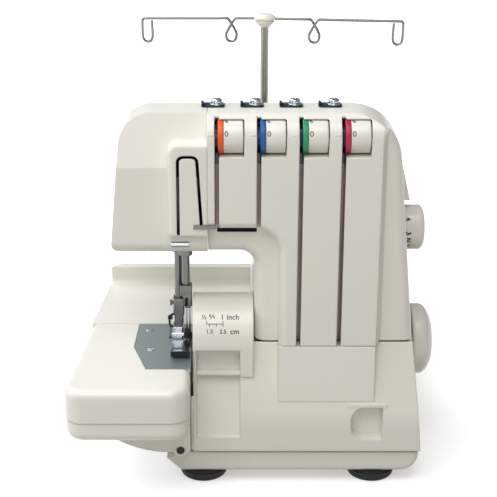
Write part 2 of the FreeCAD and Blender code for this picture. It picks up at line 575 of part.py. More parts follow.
def make_face_cover():
    """Left end of the arm, with the bulge and the arch slot of the take-up."""
    body = new_body("face_cover")
    right = "panel_left - seam_gap"
    pad(body, "face_block", "XZ_Plane", "face_front", "split_y", [
        ("arm_left", "arm_bottom"), (right, "arm_bottom"), (right, "top_z"), ("arm_left_top", "top_z")])
    fillet(body, "face_top_left", "top_left_round", edge_at(x="arm_left_top", z="top_z"))
    fillet(body, "face_low_left", "arm_corner_round", edge_at(x="arm_left", z="arm_bottom"))
    pocket(body, "facet", "YZ_Plane", "arm_left - over", "panel_left + over", [
        ("face_front - over", "facet_z"), ("face_front", "facet_z"),
        ("face_front + facet_back", "top_z + over"), ("face_front - over", "top_z + over")])
    pocket(body, "face_low_edge", "YZ_Plane", "arm_left - over", "panel_left + over", [
        ("face_front - over", "arm_bottom - over"), ("face_front + face_edge_round", "arm_bottom - over"),
        ("face_front + face_edge_round", "arm_bottom"), ("face_front", "arm_bottom + face_edge_round"),
        ("face_front - over", "arm_bottom + face_edge_round")], hollows={2: "face_edge_round"})
    pad(body, "bulge", "XZ_Plane", "bulge_front", "face_front + facet_back", box_corners(
        "bulge_left", "bulge_low", right, "bulge_top"))
    on_bulge = edge_at(y="bulge_front")
    fillet(body, "bulge_corner", "bulge_round * 2", edge_at(x="bulge_left", z="bulge_top"))
    fillet(body, "bulge_edge", "bulge_round",
           lambda e: on_bulge(e) and edge_at(x="bulge_left")(e))
    fillet(body, "bulge_under", "bulge_round",
           lambda e: on_bulge(e) and edge_at(z="bulge_low")(e))
    pocket(body, "face_cavity", "XZ_Plane", "face_front + 2 * wall", "split_y + over", [
        ("arm_left + 2 * wall", "arm_bottom + wall"), (f"{right} - wall", "arm_bottom + wall"),
        (f"{right} - wall", "bulge_top - 3 * wall"),
        ("arm_left_top + top_left_round", "bulge_top - 3 * wall"),
        (f"{left_side('top_z - 2 * top_left_round')} + 2 * wall", "top_z - 2 * top_left_round")])
    pocket(body, "bulge_cavity", "XZ_Plane", "bulge_front + wall", "face_front + 3 * wall", box_corners(
        "bulge_left + wall", "bulge_low + wall", f"{right} - wall", "arch_top + over"))
    bend = "arch_top - arch_round"
    pocket(body, "arch_slot_cut", "XZ_Plane", "bulge_front - over", "face_front", [
        ("arch_left", "arch_low_left"), ("arch_left + arch_slot", "arch_low_left"),
        ("arch_left + arch_slot", bend), ("arch_left + arch_round", "arch_top - arch_slot"),
        ("arch_right - arch_round", "arch_top - arch_slot"), ("arch_right - arch_slot", bend),
        ("arch_right - arch_slot + arch_lean", "arch_low_right"),
        ("arch_right + arch_lean", "arch_low_right"), ("arch_right", bend),
        ("arch_right - arch_round", "arch_top"), ("arch_left + arch_round", "arch_top"),
        ("arch_left", bend)],
        arcs={8: "arch_round", 10: "arch_round"},
        hollows={2: "arch_round - arch_slot", 4: "arch_round - arch_slot"})
    pocket(body, "bar_window", "XY_Plane", "arm_bottom - over", "arm_bottom + wall + over", box_corners(
        "bar_window_left", "bar_window_front", "bar_window_right", "split_y + over"))


# Lower front cover

def make_looper_cover():
    """Hinged lower cover: flared sheet, name panel, ruler bulge, trimmings chute, finger recess."""
    body = new_body("looper_cover")
    step = "panel_front + panel_step"
    inner = f"{step} + wall / 2"
    rear = "split_y - seam_gap"
    right = right_side("seam_z")
    pad(body, "cover_sheet", "YZ_Plane", "cover_left", "right_bottom", [
        (step, cover_rim(step)), ("flare_y", "flare_z"), ("belly_y", "belly_high"),
        ("belly_y", "cover_foot"),
        ("belly_y + 3 * wall", "cover_foot"), ("belly_y + 3 * wall", "lug_notch_top"),
        ("belly_y + wall", "lug_notch_top + 2 * wall"), ("belly_y + wall", "belly_high"),
        ("flare_y + wall", "flare_z"), (f"{step} + wall", cover_rim(f"{step} + wall"))],
        arcs={1: "cover_round"}, hollows={7: "cover_round"})
    pad(body, "cover_end", "YZ_Plane", f"{right} - wall", "right_bottom", [
        (inner, cover_rim(inner)), ("flare_y + wall / 2", "flare_z"), ("belly_y + wall / 2", "belly_high"),
        ("belly_y + wall / 2", "cover_foot"), (rear, "cover_foot"), (rear, cover_rim(rear))],
        arcs={5: COVER_REACH})
    pocket(body, "cover_lean", "XZ_Plane", "belly_y - over", "split_y + over", [
        ("right_bottom", "base_top"), ("right_bottom + over", "base_top"),
        ("right_bottom + over", "seam_z"), (right, "seam_z")])
    pocket(body, "chute_gap", "XZ_Plane", "belly_y - over", f"{step} + wall + over", box_corners(
        "chute_left", "chute_low", "chute_right", "seam_z"))
    pad(body, "name_panel", "YZ_Plane", "column_edge", "panel_right", [
        ("panel_front", cover_rim("panel_front")), ("flare_y - seam_gap", "name_panel_low"),
        ("flare_y + wall", "name_panel_low"), (f"{step} + wall", cover_rim(f"{step} + wall"))],
        arcs={3: COVER_REACH})
    rear_out = "ruler_y + sqrt(ruler_radius^2 - ruler_rear_rise^2)"
    rear_in = "ruler_y + sqrt((ruler_radius - ruler_skin)^2 - ruler_rear_rise^2)"
    rear_z = "ruler_z + ruler_rear_rise"
    front_out = "ruler_y - ruler_radius"
    front_in = "ruler_y - ruler_radius + ruler_skin"
    pad(body, "ruler_bulge", "YZ_Plane", "cover_left", RULER_RIGHT, [
        (rear_out, rear_z), (front_out, "ruler_z"), (front_out, "pillar_low"), (front_in, "pillar_low"),
        (front_in, "ruler_z"), (rear_in, rear_z)],
        arcs={0: "ruler_radius"}, hollows={4: "ruler_radius - ruler_skin"})
    pad(body, "ruler_end", "YZ_Plane", f"{RULER_RIGHT} - ruler_skin", RULER_RIGHT, [
        (rear_out, rear_z), (front_out, "ruler_z"), (front_out, "pillar_low"),
        ("chute_top_y", "pillar_low"), ("chute_top_y", "ruler_z")], arcs={0: "ruler_radius"})
    pocket(body, "chute_mouth", "XZ_Plane", f"{front_out} - over", f"{front_in} + over", box_corners(
        "cover_left - over", "pillar_low - over", "chute_right", "mouth_high"))
    pad(body, "chute_floor", "YZ_Plane", "cover_left", "chute_right + chute_skin", [
        ("chute_low_y", "chute_low - wall"), ("chute_low_y + wall", "chute_low - wall"),
        ("chute_top_y + chute_skin", "chute_top"), ("chute_top_y", "chute_top")])
    pad(body, "mouth_wall", "YZ_Plane", "cover_left", "chute_right + chute_skin", box_corners(
        "chute_top_y", "chute_top - chute_skin", "chute_top_y + chute_skin", "mouth_back"))
    pad(body, "chute_ledge", "YZ_Plane", "cover_left", "chute_right + chute_skin", box_corners(
        "ledge_front", "ledge_low", "chute_top_y", "ledge_high"))
    cheek = [("flare_y + chute_skin / 2", "flare_z"), ("chute_low_y", "chute_low - wall"),
             ("chute_top_y + chute_skin", "chute_top"), (front_in, "chute_top")]
    pad(body, "chute_left_cheek", "YZ_Plane", "cover_left", "chute_left", cheek)
    pad(body, "chute_right_cheek", "YZ_Plane", "chute_right", "chute_right + chute_skin", cheek)
    back = "belly_y + finger_depth"
    pad(body, "finger_block", "YZ_Plane", "finger_left - wall", "finger_right + wall", box_corners(
        "belly_y + wall / 2", "finger_low - wall", f"{back} + wall", "finger_high + wall"))
    pocket(body, "finger_recess", "XZ_Plane", "belly_y - over", back, [
        ("finger_left + finger_round", "finger_low"), ("finger_right", "finger_low"),
        ("finger_right", "finger_high"), ("finger_left + finger_round", "finger_high"),
        ("finger_left", "finger_high - finger_round"), ("finger_left", "finger_low + finger_round")],
        arcs={3: "finger_round", 5: "finger_round"})
    for side in ("left", "right"):
        lug = f"lug_{side}_x"
        notch = box_corners(f"{lug} - seam_gap", "cover_foot - over", f"{lug} + lug_width + seam_gap",
                            "lug_notch_top")
        pocket(body, f"{side}_lug_notch", "XZ_Plane", "hinge_y - lug_radius - seam_gap",
               "belly_y + 3 * wall + over", notch)
        bore(body, f"{side}_pin_bore", "YZ_Plane", f"{lug} - lug_width", f"{lug} + 2 * lug_width",
             "hinge_y", "hinge_z", "pin_radius + fit")


def make_cover_pins():
    """Two steel pins that the lower cover turns on."""
    pins = [rod(f"cover_pin_{side}", "X", f"lug_{side}_x - lug_width", f"lug_{side}_x + 2 * lug_width",
                "hinge_y", "hinge_z", "pin_radius") for side in ("left", "right")]
    node(group("cover_hinge_pins", *pins))


# Cloth plate, bed and needle plate

def make_cloth_plate():
    """Top of the swinging table, hollow from below, cut out round the needle plate."""
    body = new_body("cloth_plate")
    rear = "table_split_y - seam_gap"
    pad(body, "table_slab", "XY_Plane", "table_groove_z", "bed_top", [
        ("bed_left", "table_front"), ("table_right", "table_front"), ("table_right", rear),
        (bed_edge(rear), rear)])
    fillet(body, "table_corner_right", "table_corner", edge_at(x="table_right", y="table_front"))
    fillet(body, "table_corner_left", "table_corner", edge_at(x="bed_left", y="table_front"))
    on_top = edge_at(z="bed_top")
    fillet(body, "table_top_edge", "table_edge",
           lambda e: on_top(e) and edge_at(y="table_front")(e))
    inset = "wall + table_groove"
    deep_inset = "2 * wall + table_groove"
    pocket(body, "table_hollow", "XY_Plane", "table_groove_z - over", "bed_top - wall", [
        (f"bed_left + {deep_inset}", f"table_front + {deep_inset}"),
        (f"table_right - {deep_inset}", f"table_front + {deep_inset}"),
        (f"table_right - {deep_inset}", f"{rear} + over"), (f"{bed_edge(rear)} + {inset}", f"{rear} + over")])
    pocket(body, "plate_gap", "XY_Plane", "table_groove_z - over", "bed_top + over", [
        ("plate_left_front - seam_gap", "plate_front - seam_gap"),
        ("table_right + over", "plate_front - seam_gap"),
        ("table_right + over", f"{rear} + over"), ("plate_left_rear - seam_gap", f"{rear} + over"),
        ("plate_left_mid - seam_gap", "plate_mid_y")])


def make_side_cover():
    """Lower half of the swinging table, with its curved belly and hinge barrel."""
    body = new_body("side_cover")
    rear = "table_split_y - seam_gap"
    left = "bed_left + table_groove"
    right = "table_right - table_groove"
    front = "table_front + table_groove"
    rear_left = f"{bed_edge(rear)} + table_groove"
    pad(body, "side_slab", "XY_Plane", "table_bottom", "table_groove_z", [
        (left, front), (right, front), (right, rear), (rear_left, rear)])
    fillet(body, "side_corner_right", "table_corner", edge_at(x=right, y=front))
    fillet(body, "side_corner_left", "table_corner", edge_at(x=left, y=front))
    under = edge_at(z="table_bottom")
    fillet(body, "side_under_edge", "table_under_round",
           lambda e: under(e) and edge_at(y=front)(e))
    belly_rear = "split_y - seam_gap"
    pad(body, "belly", "XZ_Plane", "belly_front", belly_rear, [
        ("belly_left", "table_bottom + wall"), ("belly_flat_x", "belly_bottom"),
        (right, "belly_bottom"),
        (right, "table_bottom + wall")], arcs={0: "belly_radius"})
    pocket(body, "side_hollow", "XY_Plane", "table_bottom + wall", "table_groove_z + over", [
        (f"{left} + 2 * wall", f"{front} + 2 * wall"), (f"{right} - 2 * wall", f"{front} + 2 * wall"),
        (f"{right} - 2 * wall", f"{rear} + over"), (f"{rear_left} + wall", f"{rear} + over")])
    pocket(body, "belly_hollow", "XZ_Plane", "belly_front + wall", f"{belly_rear} + over", [
        ("belly_left + 2 * wall", "table_bottom + wall + over"), ("belly_flat_x", "belly_bottom + wall"),
        (f"{right} - wall", "belly_bottom + wall"),
        (f"{right} - wall", "table_bottom + wall + over")],
        arcs={0: "belly_radius"})
    barrel_end = "belly_front + barrel_length"
    boss(body, "barrel", "XZ_Plane", "belly_front", barrel_end, "swing_x", "swing_z", "barrel_radius")
    bore(body, "barrel_bore", "XZ_Plane", "belly_front - over", "swing_pin_end + over",
         "swing_x", "swing_z", "swing_pin_radius + fit")
    pocket(body, "feed_gap", "XY_Plane", "table_bottom + 2 * wall", "table_groove_z + over", box_corners(
        "plate_left_mid", "plate_front", "table_right + over", f"{rear} + over"))
    notch = box_corners("swing_x - barrel_radius - wall", "belly_bottom - over", f"{right} + over",
                        "swing_z + barrel_radius + over")
    pocket(body, "lug_notch", "XZ_Plane", "swing_lug_front - seam_gap", "swing_lug_rear + seam_gap", notch)


def make_swing_pin():
    """Steel pin that the swinging table turns on."""
    node(rod("swing_pin", "Y", "belly_front - seam_gap", "swing_pin_end", "swing_x", "swing_z",
             "swing_pin_radius"))


def make_bed():
    """Fixed bed behind the swinging table, with a raised rim at the back."""
    body = new_body("bed")
    right = "throat_x - seam_gap"
    pad(body, "bed_slab", "XY_Plane", "bed_bottom", "bed_top", [
        (bed_edge("table_split_y"), "table_split_y"), (right, "table_split_y"), (right, "body_rear"),
        ("bed_left_rear", "body_rear")])
    pad(body, "bed_rim", "XY_Plane", "bed_top", "rim_top", [
        (bed_edge("rim_front"), "rim_front"), (right, "rim_front"), (right, "body_rear"),
        ("bed_left_rear", "body_rear")])
    fillet(body, "bed_corner", "bed_corner_round", edge_at(x="bed_left_rear", y="body_rear"))
    fillet(body, "rim_blend", "rim_round", edge_at(y="rim_front", z="bed_top"))
    hollow = box_corners("bed_left_rear + 2 * wall", "bed_bottom + wall", f"{right} + over",
                         "bed_top - plate_thickness")
    pocket(body, "bed_hollow", "XZ_Plane", "table_split_y - over", "body_rear - bed_corner_round", hollow)


def make_needle_plate():
    """Steel plate under the foot, with slots for the feed dogs and the needles."""
    body = new_body("needle_plate")
    low, high = "bed_top - plate_thickness", "bed_top"
    rear = "table_split_y - seam_gap"
    pad(body, "plate_blank", "XY_Plane", low, high, [
        ("plate_left_front", "plate_front"), ("plate_right", "plate_front"), ("plate_right", rear),
        ("plate_left_rear", rear), ("plate_left_mid", "plate_mid_y")])
    for name in ("main", "diff"):
        pocket(body, f"{name}_slot", "XY_Plane", f"{low} - over", f"{high} + over", box_corners(
            f"{name}_dog_left - seam_gap", f"{name}_teeth_front - feed_slot_margin",
            f"{name}_dog_left + dog_width + seam_gap", f"{name}_teeth_rear + feed_slot_margin"))
    pocket(body, "needle_slot", "XY_Plane", f"{low} - over", f"{high} + over", box_corners(
        "needle_x - needle_spacing", "needle_y - 2 * needle_radius",
        "needle_x + needle_spacing - seam_gap", "needle_y + 2 * needle_radius"))
    screws = [rod(f"plate_screw_{end}", "Z", high, f"{high} + plate_screw_rise", f"screw_{end}_x",
                  f"screw_{end}_y", "plate_screw_radius") for end in ("rear", "front")]
    node(group("needle_plate_screws", *screws))


# Needle, presser foot and knives

def make_needle_bar():
    """Needle bar with its clamp, two screws and two needles."""
    node(rod("needle_bar", "Z", "clamp_high", "needle_bar_top", "needle_bar_x", "needle_y", "bar_radius"))
    left, right = "needle_x - needle_spacing / 2", "needle_x + needle_spacing / 2"
    node(block("needle_clamp", "clamp_left", "clamp_right", "clamp_front", "clamp_rear",
               "clamp_low", "clamp_high"))
    screws = [rod(f"clamp_screw_{i}", "Y", "clamp_front - clamp_screw_length", "clamp_front",
                  left, f"clamp_low + clamp_screw_low + {i} * clamp_screw_pitch", "clamp_screw_radius")
              for i in range(2)]
    node(group("clamp_screws", *screws))
    needles = []
    for i, x in enumerate((left, right)):
        point = "needle_tip + 5 * needle_radius"
        stem = rod(f"needle_stem_{i}", "Z", point, "clamp_low", x, "needle_y", "needle_radius")
        tip = taper(f"needle_point_{i}", "Z", "needle_tip", point, x, "needle_y",
                    "needle_radius / 6", "needle_radius")
        needles.append(fuse(f"needle_{i}", stem, tip))
    node(group("needles", *needles))


def make_presser():
    """Presser bar, foot holder and presser foot."""
    node(rod("presser_bar", "Z", "presser_bar_low", "presser_bar_top", "presser_x", "presser_y",
             "bar_radius"))
    holder = block("holder_block", "presser_x - holder_half", "presser_x + holder_half",
                   "presser_y - holder_half", "presser_y + holder_half", "holder_low", "holder_high")
    socket = rod("holder_socket", "Z", "presser_bar_low", "holder_high + over", "presser_x", "presser_y",
                 "bar_radius + fit")
    node(cut("foot_holder", holder, socket))
    body = new_body("presser_foot")
    low, high = "bed_top + foot_gap", "bed_top + foot_gap + foot_sole"
    pad(body, "sole", "YZ_Plane", "foot_left", "foot_right", [
        ("foot_toe", f"{low} + toe_rise"), ("foot_toe + 4 * toe_rise", low), ("foot_heel", low),
        ("foot_heel", high), ("presser_y + holder_half", high), ("presser_y + holder_half", "holder_low"),
        ("presser_y - holder_half", "holder_low"), ("presser_y - holder_half", high),
        ("foot_toe", f"{high} + toe_rise")])
    for side, start, end in (("left", "foot_left - over", "presser_x - holder_half"),
                             ("right", "presser_x + holder_half", "foot_right + over")):
        pocket(body, f"{side}_shoulder", "YZ_Plane", start, end, box_corners(
            "presser_y - holder_half - over", high, "presser_y + holder_half + over", "holder_low + over"))
    pocket(body, "needle_notch", "XY_Plane", f"{low} - over", f"{high} + over", box_corners(
        "needle_x - 1.5 * needle_spacing", "needle_y - needle_spacing", "foot_right + over",
        "needle_y + needle_spacing"))


def make_bar_bushes():
    """Two plain bushes in the head that guide the needle bar and the presser bar."""
    bushes = []
    for name, x, y in (("needle", "needle_bar_x", "needle_y"), ("presser", "presser_x", "presser_y")):
        outer = rod(f"{name}_bush_outer", "Z", "bush_low", "bush_high", x, y, "bush_radius")
        inner = rod(f"{name}_bush_inner", "Z", "bush_low - over", "bush_high + over", x, y,
                    "bar_radius + fit")
        bushes.append(cut(f"{name}_bush", outer, inner))
    node(group("bar_bushes", *bushes))


def make_knives():
    """Fixed lower knife, and the upper knife on its swinging arm."""
    blade_left = "plate_right + blade_thickness + blade_gap"
    node(block("lower_knife", "plate_right", "plate_right + blade_thickness", "blade_front", "blade_rear",
               "lower_blade_low", "bed_top - blade_gap"))
    node(block("upper_knife", blade_left, f"{blade_left} + blade_thickness", "blade_front", "blade_rear",
               "upper_blade_low", "upper_blade_top"))
    arm_rear = "knife_arm_front + lever_thickness"
    post_right = f"{blade_left} + 6 * blade_thickness"
    arm = block("knife_beam", blade_left, "knife_x", "knife_arm_front", arm_rear,
                "knife_z - lever_thickness", "knife_z + lever_thickness")
    post = block("knife_post", blade_left, post_right, "knife_arm_front", arm_rear,
                 "knife_z", "upper_blade_top - lever_thickness")
    grip = block("knife_grip", f"{blade_left} + blade_thickness", post_right,
                 "blade_rear - lever_thickness", arm_rear, "upper_blade_low + lever_thickness",
                 "upper_blade_top - lever_thickness")
    hub = rod("knife_hub", "Y", "knife_arm_front", arm_rear, "knife_x", "knife_z",
              "crank_radius + lug_wall")
    shaft = rod("knife_shaft", "Y", "knife_arm_front", "lug_rear - seam_gap", "knife_x", "knife_z",
                "crank_radius")
    node(fuse("knife_arm", arm, post, grip, hub, shaft))


def make_looper(name, corners):
    """One looper: a flat lever with a hooked blade on its own short shaft."""
    x, z = f"{name}_looper_x", f"{name}_looper_z"
    front = f"{name}_lever_front"
    rear = f"{front} + lever_thickness"
    body = new_body(f"{name}_looper")
    pad(body, f"{name}_lever", "XZ_Plane", front, rear,
        [(f"{x} + ({across})", f"{z} + {up}") for across, up in corners])
    boss(body, f"{name}_hub", "XZ_Plane", front, rear, x, z, "crank_radius + lug_wall")
    boss(body, f"{name}_shaft", "XZ_Plane", front, "lug_rear - seam_gap", x, z, "crank_radius")


def make_loopers():
    """Lower and upper looper."""
    foot = [("-crank_radius", "0"), ("crank_radius", "0")]
    make_looper("lower", foot + [
        ("-lower_lean", "lower_rise - lower_head"), ("-lower_lean", "lower_rise"),
        ("-lower_tip", "lower_rise"), ("-lower_tip + hook_drop", "lower_rise - hook_thickness"),
        ("-lower_neck", "lower_rise - lower_head + hook_drop")])
    make_looper("upper", foot + [
        ("-crank_radius", "upper_rise - upper_head"), ("-upper_lean", "upper_rise"),
        ("-upper_tip", "upper_rise - hook_drop"),
        ("-upper_tip + hook_drop / 2", "upper_rise - hook_drop - hook_thickness"),
        ("-upper_lean - hook_drop / 2", "upper_rise - 2 * hook_thickness"),
        ("-upper_neck", "upper_rise - upper_head - hook_drop")])


def make_feed_dogs():
    """Main and differential feed dog, each on its own bar."""
    low = "bed_beam_high + dog_gap"
    for name in ("main", "diff"):
        left, right = f"{name}_dog_left", f"{name}_dog_left + dog_width"
        bar = block(f"{name}_feed_bar", left, right, f"{name}_teeth_front", "dog_rear",
                    low, f"{low} + dog_bar_height")
        teeth = block(f"{name}_teeth", left, right, f"{name}_teeth_front", f"{name}_teeth_rear",
                      low, "bed_top + tooth_rise")
        node(fuse(f"{name}_feed_dog", bar, teeth))


# Drive

def make_drive():
    """Handwheel, main shaft, pulleys, belt and motor."""
    wheel = new_body("handwheel")
    boss(wheel, "wheel_disc", "YZ_Plane", "wheel_left", "wheel_end", "shaft_y", "shaft_z", "wheel_radius")
    fillet(wheel, "wheel_dome", "wheel_round", edge_at(x="wheel_end"))
    bore(wheel, "wheel_back", "YZ_Plane", "wheel_left - over", "wheel_left + wheel_hollow",
         "shaft_y", "shaft_z", "wheel_radius - wheel_hollow")
    bore(wheel, "wheel_bore", "YZ_Plane", "wheel_left", "wheel_left + 2 * wheel_hollow",
         "shaft_y", "shaft_z", "shaft_radius + fit")
    node(rod("main_shaft", "X", "shaft_left", "wheel_left + 2 * wheel_hollow", "shaft_y", "shaft_z",
             "shaft_radius"))
    pulley_right = "pulley_left + pulley_width"
    disc = rod("shaft_pulley_disc", "X", "pulley_left", pulley_right, "shaft_y", "shaft_z",
               "shaft_pulley_radius")
    hole = rod("shaft_pulley_hole", "X", "pulley_left - over", f"{pulley_right} + over", "shaft_y",
               "shaft_z", "shaft_radius + fit")
    node(cut("shaft_pulley", disc, hole))
    drum = rod("motor_pulley_disc", "X", "pulley_left", pulley_right, "motor_y", "motor_z",
               "motor_pulley_radius")
    stub = rod("motor_stub", "X", "motor_right - 2 * wall", pulley_right, "motor_y", "motor_z",
               "motor_shaft")
    node(fuse("motor_pulley", drum, stub))
    can = rod("motor_can", "X", "motor_left", "motor_right", "motor_y", "motor_z", "motor_radius")
    cradle = block("motor_cradle", "motor_left + 2 * wall", "motor_right - 2 * wall", "motor_y - 5 * wall",
                   "motor_y + 5 * wall", "base_top + wall + chassis_floor", "motor_z")
    well = rod("motor_well", "X", "motor_right - 3 * wall", "motor_right + over", "motor_y", "motor_z",
               "motor_shaft + fit")
    node(cut("motor", fuse("motor_body", can, cradle), well))


def belt_loop(first, last, radius_first, radius_last):
    """Return the wire of an open belt round two pulleys in the YZ plane."""
    reach = last - first
    swing = math.asin((radius_first - radius_last) / reach.Length)
    heading = math.atan2(reach.z, reach.y)

    def rim(centre, radius, angle):
        return centre + FreeCAD.Vector(0, math.cos(angle), math.sin(angle)) * radius

    upper = heading + math.pi / 2 - swing
    lower = heading - math.pi / 2 + swing
    a, b = rim(first, radius_first, upper), rim(last, radius_last, upper)
    c, d = rim(last, radius_last, lower), rim(first, radius_first, lower)
    near = rim(last, radius_last, heading)
    far = rim(first, radius_first, heading + math.pi)
    edges = [Part.makeLine(a, b), Part.Arc(b, near, c).toShape(), Part.makeLine(c, d),
             Part.Arc(d, far, a).toShape()]
    return Part.Wire(edges)


def make_belt():
    """Flat drive belt, a running gap clear of both pulleys."""
    middle = number("pulley_left + pulley_width / 2 - belt_width / 2")
    first = FreeCAD.Vector(middle, number("shaft_y"), number("shaft_z"))
    last = FreeCAD.Vector(middle, number("motor_y"), number("motor_z"))
    gap, thickness = number("belt_gap"), number("belt_thickness")
    radii = number("shaft_pulley_radius") + gap, number("motor_pulley_radius") + gap
    inner = Part.Face(belt_loop(first, last, *radii))
    outer = Part.Face(belt_loop(first, last, *(r + thickness for r in radii)))
    belt = doc.addObject("Part::Feature", "drive_belt")
    belt.Shape = outer.cut(inner).extrude(FreeCAD.Vector(number("belt_width"), 0, 0))
    node(belt)


# Chassis

def make_chassis():
    """Cast frame: floor, two bearing walls, arm beam with head block, bed beam and bearing lugs."""
    floor_low = "base_top + wall"
    floor_high = "base_top + wall + chassis_floor"
    parts = [
        block("chassis_base", "chassis_left", "chassis_right_end", "chassis_front", "chassis_rear",
              floor_low, floor_high),
        block("left_wall", "chassis_left", "chassis_left_end", "chassis_front", "chassis_rear", floor_low,
              "arm_beam_high"),
        block("right_wall", "chassis_right", "chassis_right_end", "chassis_front", "chassis_rear",
              floor_low, "shaft_z + shaft_pulley_radius"),
        block("arm_beam", "head_left", "chassis_left_end", "arm_beam_front", "arm_beam_rear",
              "arm_beam_low", "arm_beam_high"),
        block("head_block", "head_left", "head_right", "head_front", "arm_beam_rear", "head_low",
              "arm_beam_high"),
        block("bed_beam", "post_left", "chassis_left", "bed_beam_front", "bed_beam_rear", "bed_beam_low",
              "bed_beam_high"),
        block("plate_post", "post_left", "post_right", "bed_beam_front", "bed_beam_rear", "bed_beam_low",
              "bed_top - plate_thickness - wall"),
        block("plate_rest", "plate_left_rear", "post_right", "rest_front", "bed_beam_rear",
              "bed_top - plate_thickness - 2 * wall", "bed_top - plate_thickness"),
        block("looper_floor", "lower_looper_x - 2 * crank_radius", "chassis_left", "lug_front",
              "chassis_front + wall", floor_low, floor_high)]
    bores = []
    for name in ("lower_looper", "upper_looper", "knife"):
        x, z = f"{name}_x", f"{name}_z"
        reach = "(crank_radius + lug_wall)"
        parts.append(block(f"{name}_lug", f"{x} - {reach}", f"{x} + {reach}", "lug_front", "lug_rear",
                           floor_low, z))
        parts.append(rod(f"{name}_boss", "Y", "lug_front", "lug_rear", x, z, "crank_radius + lug_wall"))
        bores.append(rod(f"{name}_bore", "Y", "lug_front - over", "lug_rear + over", x, z,
                         "crank_radius + fit"))
    bores.append(rod("shaft_bore", "X", "chassis_left - over", "chassis_right_end + over", "shaft_y",
                     "shaft_z", "shaft_radius + fit"))
    for name, x, y in (("needle", "needle_bar_x", "needle_y"), ("presser", "presser_x", "presser_y")):
        bores.append(rod(f"{name}_seat", "Z", "head_low - over", "bush_high", x, y, "bush_radius + fit"))
        bores.append(rod(f"{name}_way", "Z", "head_low", "arm_beam_high + over", x, y, "bar_radius + fit"))
    node(cut("chassis", fuse("chassis_casting", *parts), *bores))


# Tension and thread guides

RING_NAMES = ("orange", "blue", "green", "crimson")


def make_tension():
    """Dial axle, four pairs of tension discs, four dials and their coloured rings."""
    node(rod("dial_axle", "X", "panel_left", f"{slot_x(3)} + window_width + 2 * wall", "dial_y", "dial_z",
             "axle_radius"))
    discs = []
    for i in range(4):
        for side in ("- disc_gap / 2 - disc_thickness", "+ disc_gap / 2"):
            start = f"{slot_x(i)} + disc_shift {side}"
            end = f"{start} + disc_thickness"
            label = f"disc_{len(discs)}"
            plate = rod(f"{label}_plate", "X", start, end, "dial_y", "dial_z", "disc_radius")
            hole = rod(f"{label}_hole", "X", f"{start} - over", f"{end} + over", "dial_y", "dial_z",
                       "axle_radius + fit")
            discs.append(cut(label, plate, hole))
    node(group("tension_discs", *discs))
    for i, colour in enumerate(RING_NAMES):
        start = f"{slot_x(i)} + dial_offset"
        middle = f"{start} + ring_width"
        for name, first, last, radius in ((f"dial_ring_{colour}", start, middle, "ring_radius"),
                                          (f"tension_dial_{colour}", middle, f"{middle} + dial_width",
                                           "dial_radius")):
            disc = rod(f"{name}_disc", "X", first, last, "dial_y", "dial_z", radius)
            hole = rod(f"{name}_hole", "X", f"{first} - over", f"{last} + over", "dial_y", "dial_z",
                       "axle_radius + fit")
            node(cut(name, disc, hole))


def make_thread_guides():
    """Four flat guides with domed caps on top, and the small guide under the arm's front edge."""
    plates, caps = [], []
    for i in range(4):
        x = f"(guide_first + {i} * guide_pitch)"
        top = "top_z + guide_thickness"
        plate = block(f"guide_plate_{i}_flat", f"{x} - guide_length / 2", f"{x} + guide_length / 2",
                      "guide_y - guide_depth / 2", "guide_y + guide_depth / 2", "top_z", top)
        post = rod(f"guide_post_{i}", "Z", "top_z", f"{top} + guide_post_height",
                   f"{x} - guide_length / 2 + guide_post_radius", "guide_y", "guide_post_radius")
        plates.append(fuse(f"guide_plate_{i}", plate, post))
        caps.append(taper(f"guide_cap_{i}", "Z", top, f"{top} + guide_cap_height",
                          f"{x} + guide_cap_radius / 2", "guide_y", "guide_cap_radius",
                          "guide_cap_radius / 2"))
    node(group("top_guide_plates", *plates))
    node(group("top_guide_caps", *caps))
    front = "bulge_front"
    node(block("arm_thread_guide", "arm_guide_left", "arm_guide_right", f"{front} - arm_guide_thickness",
               front, "arm_guide_low", "arm_guide_high"))


# Side controls

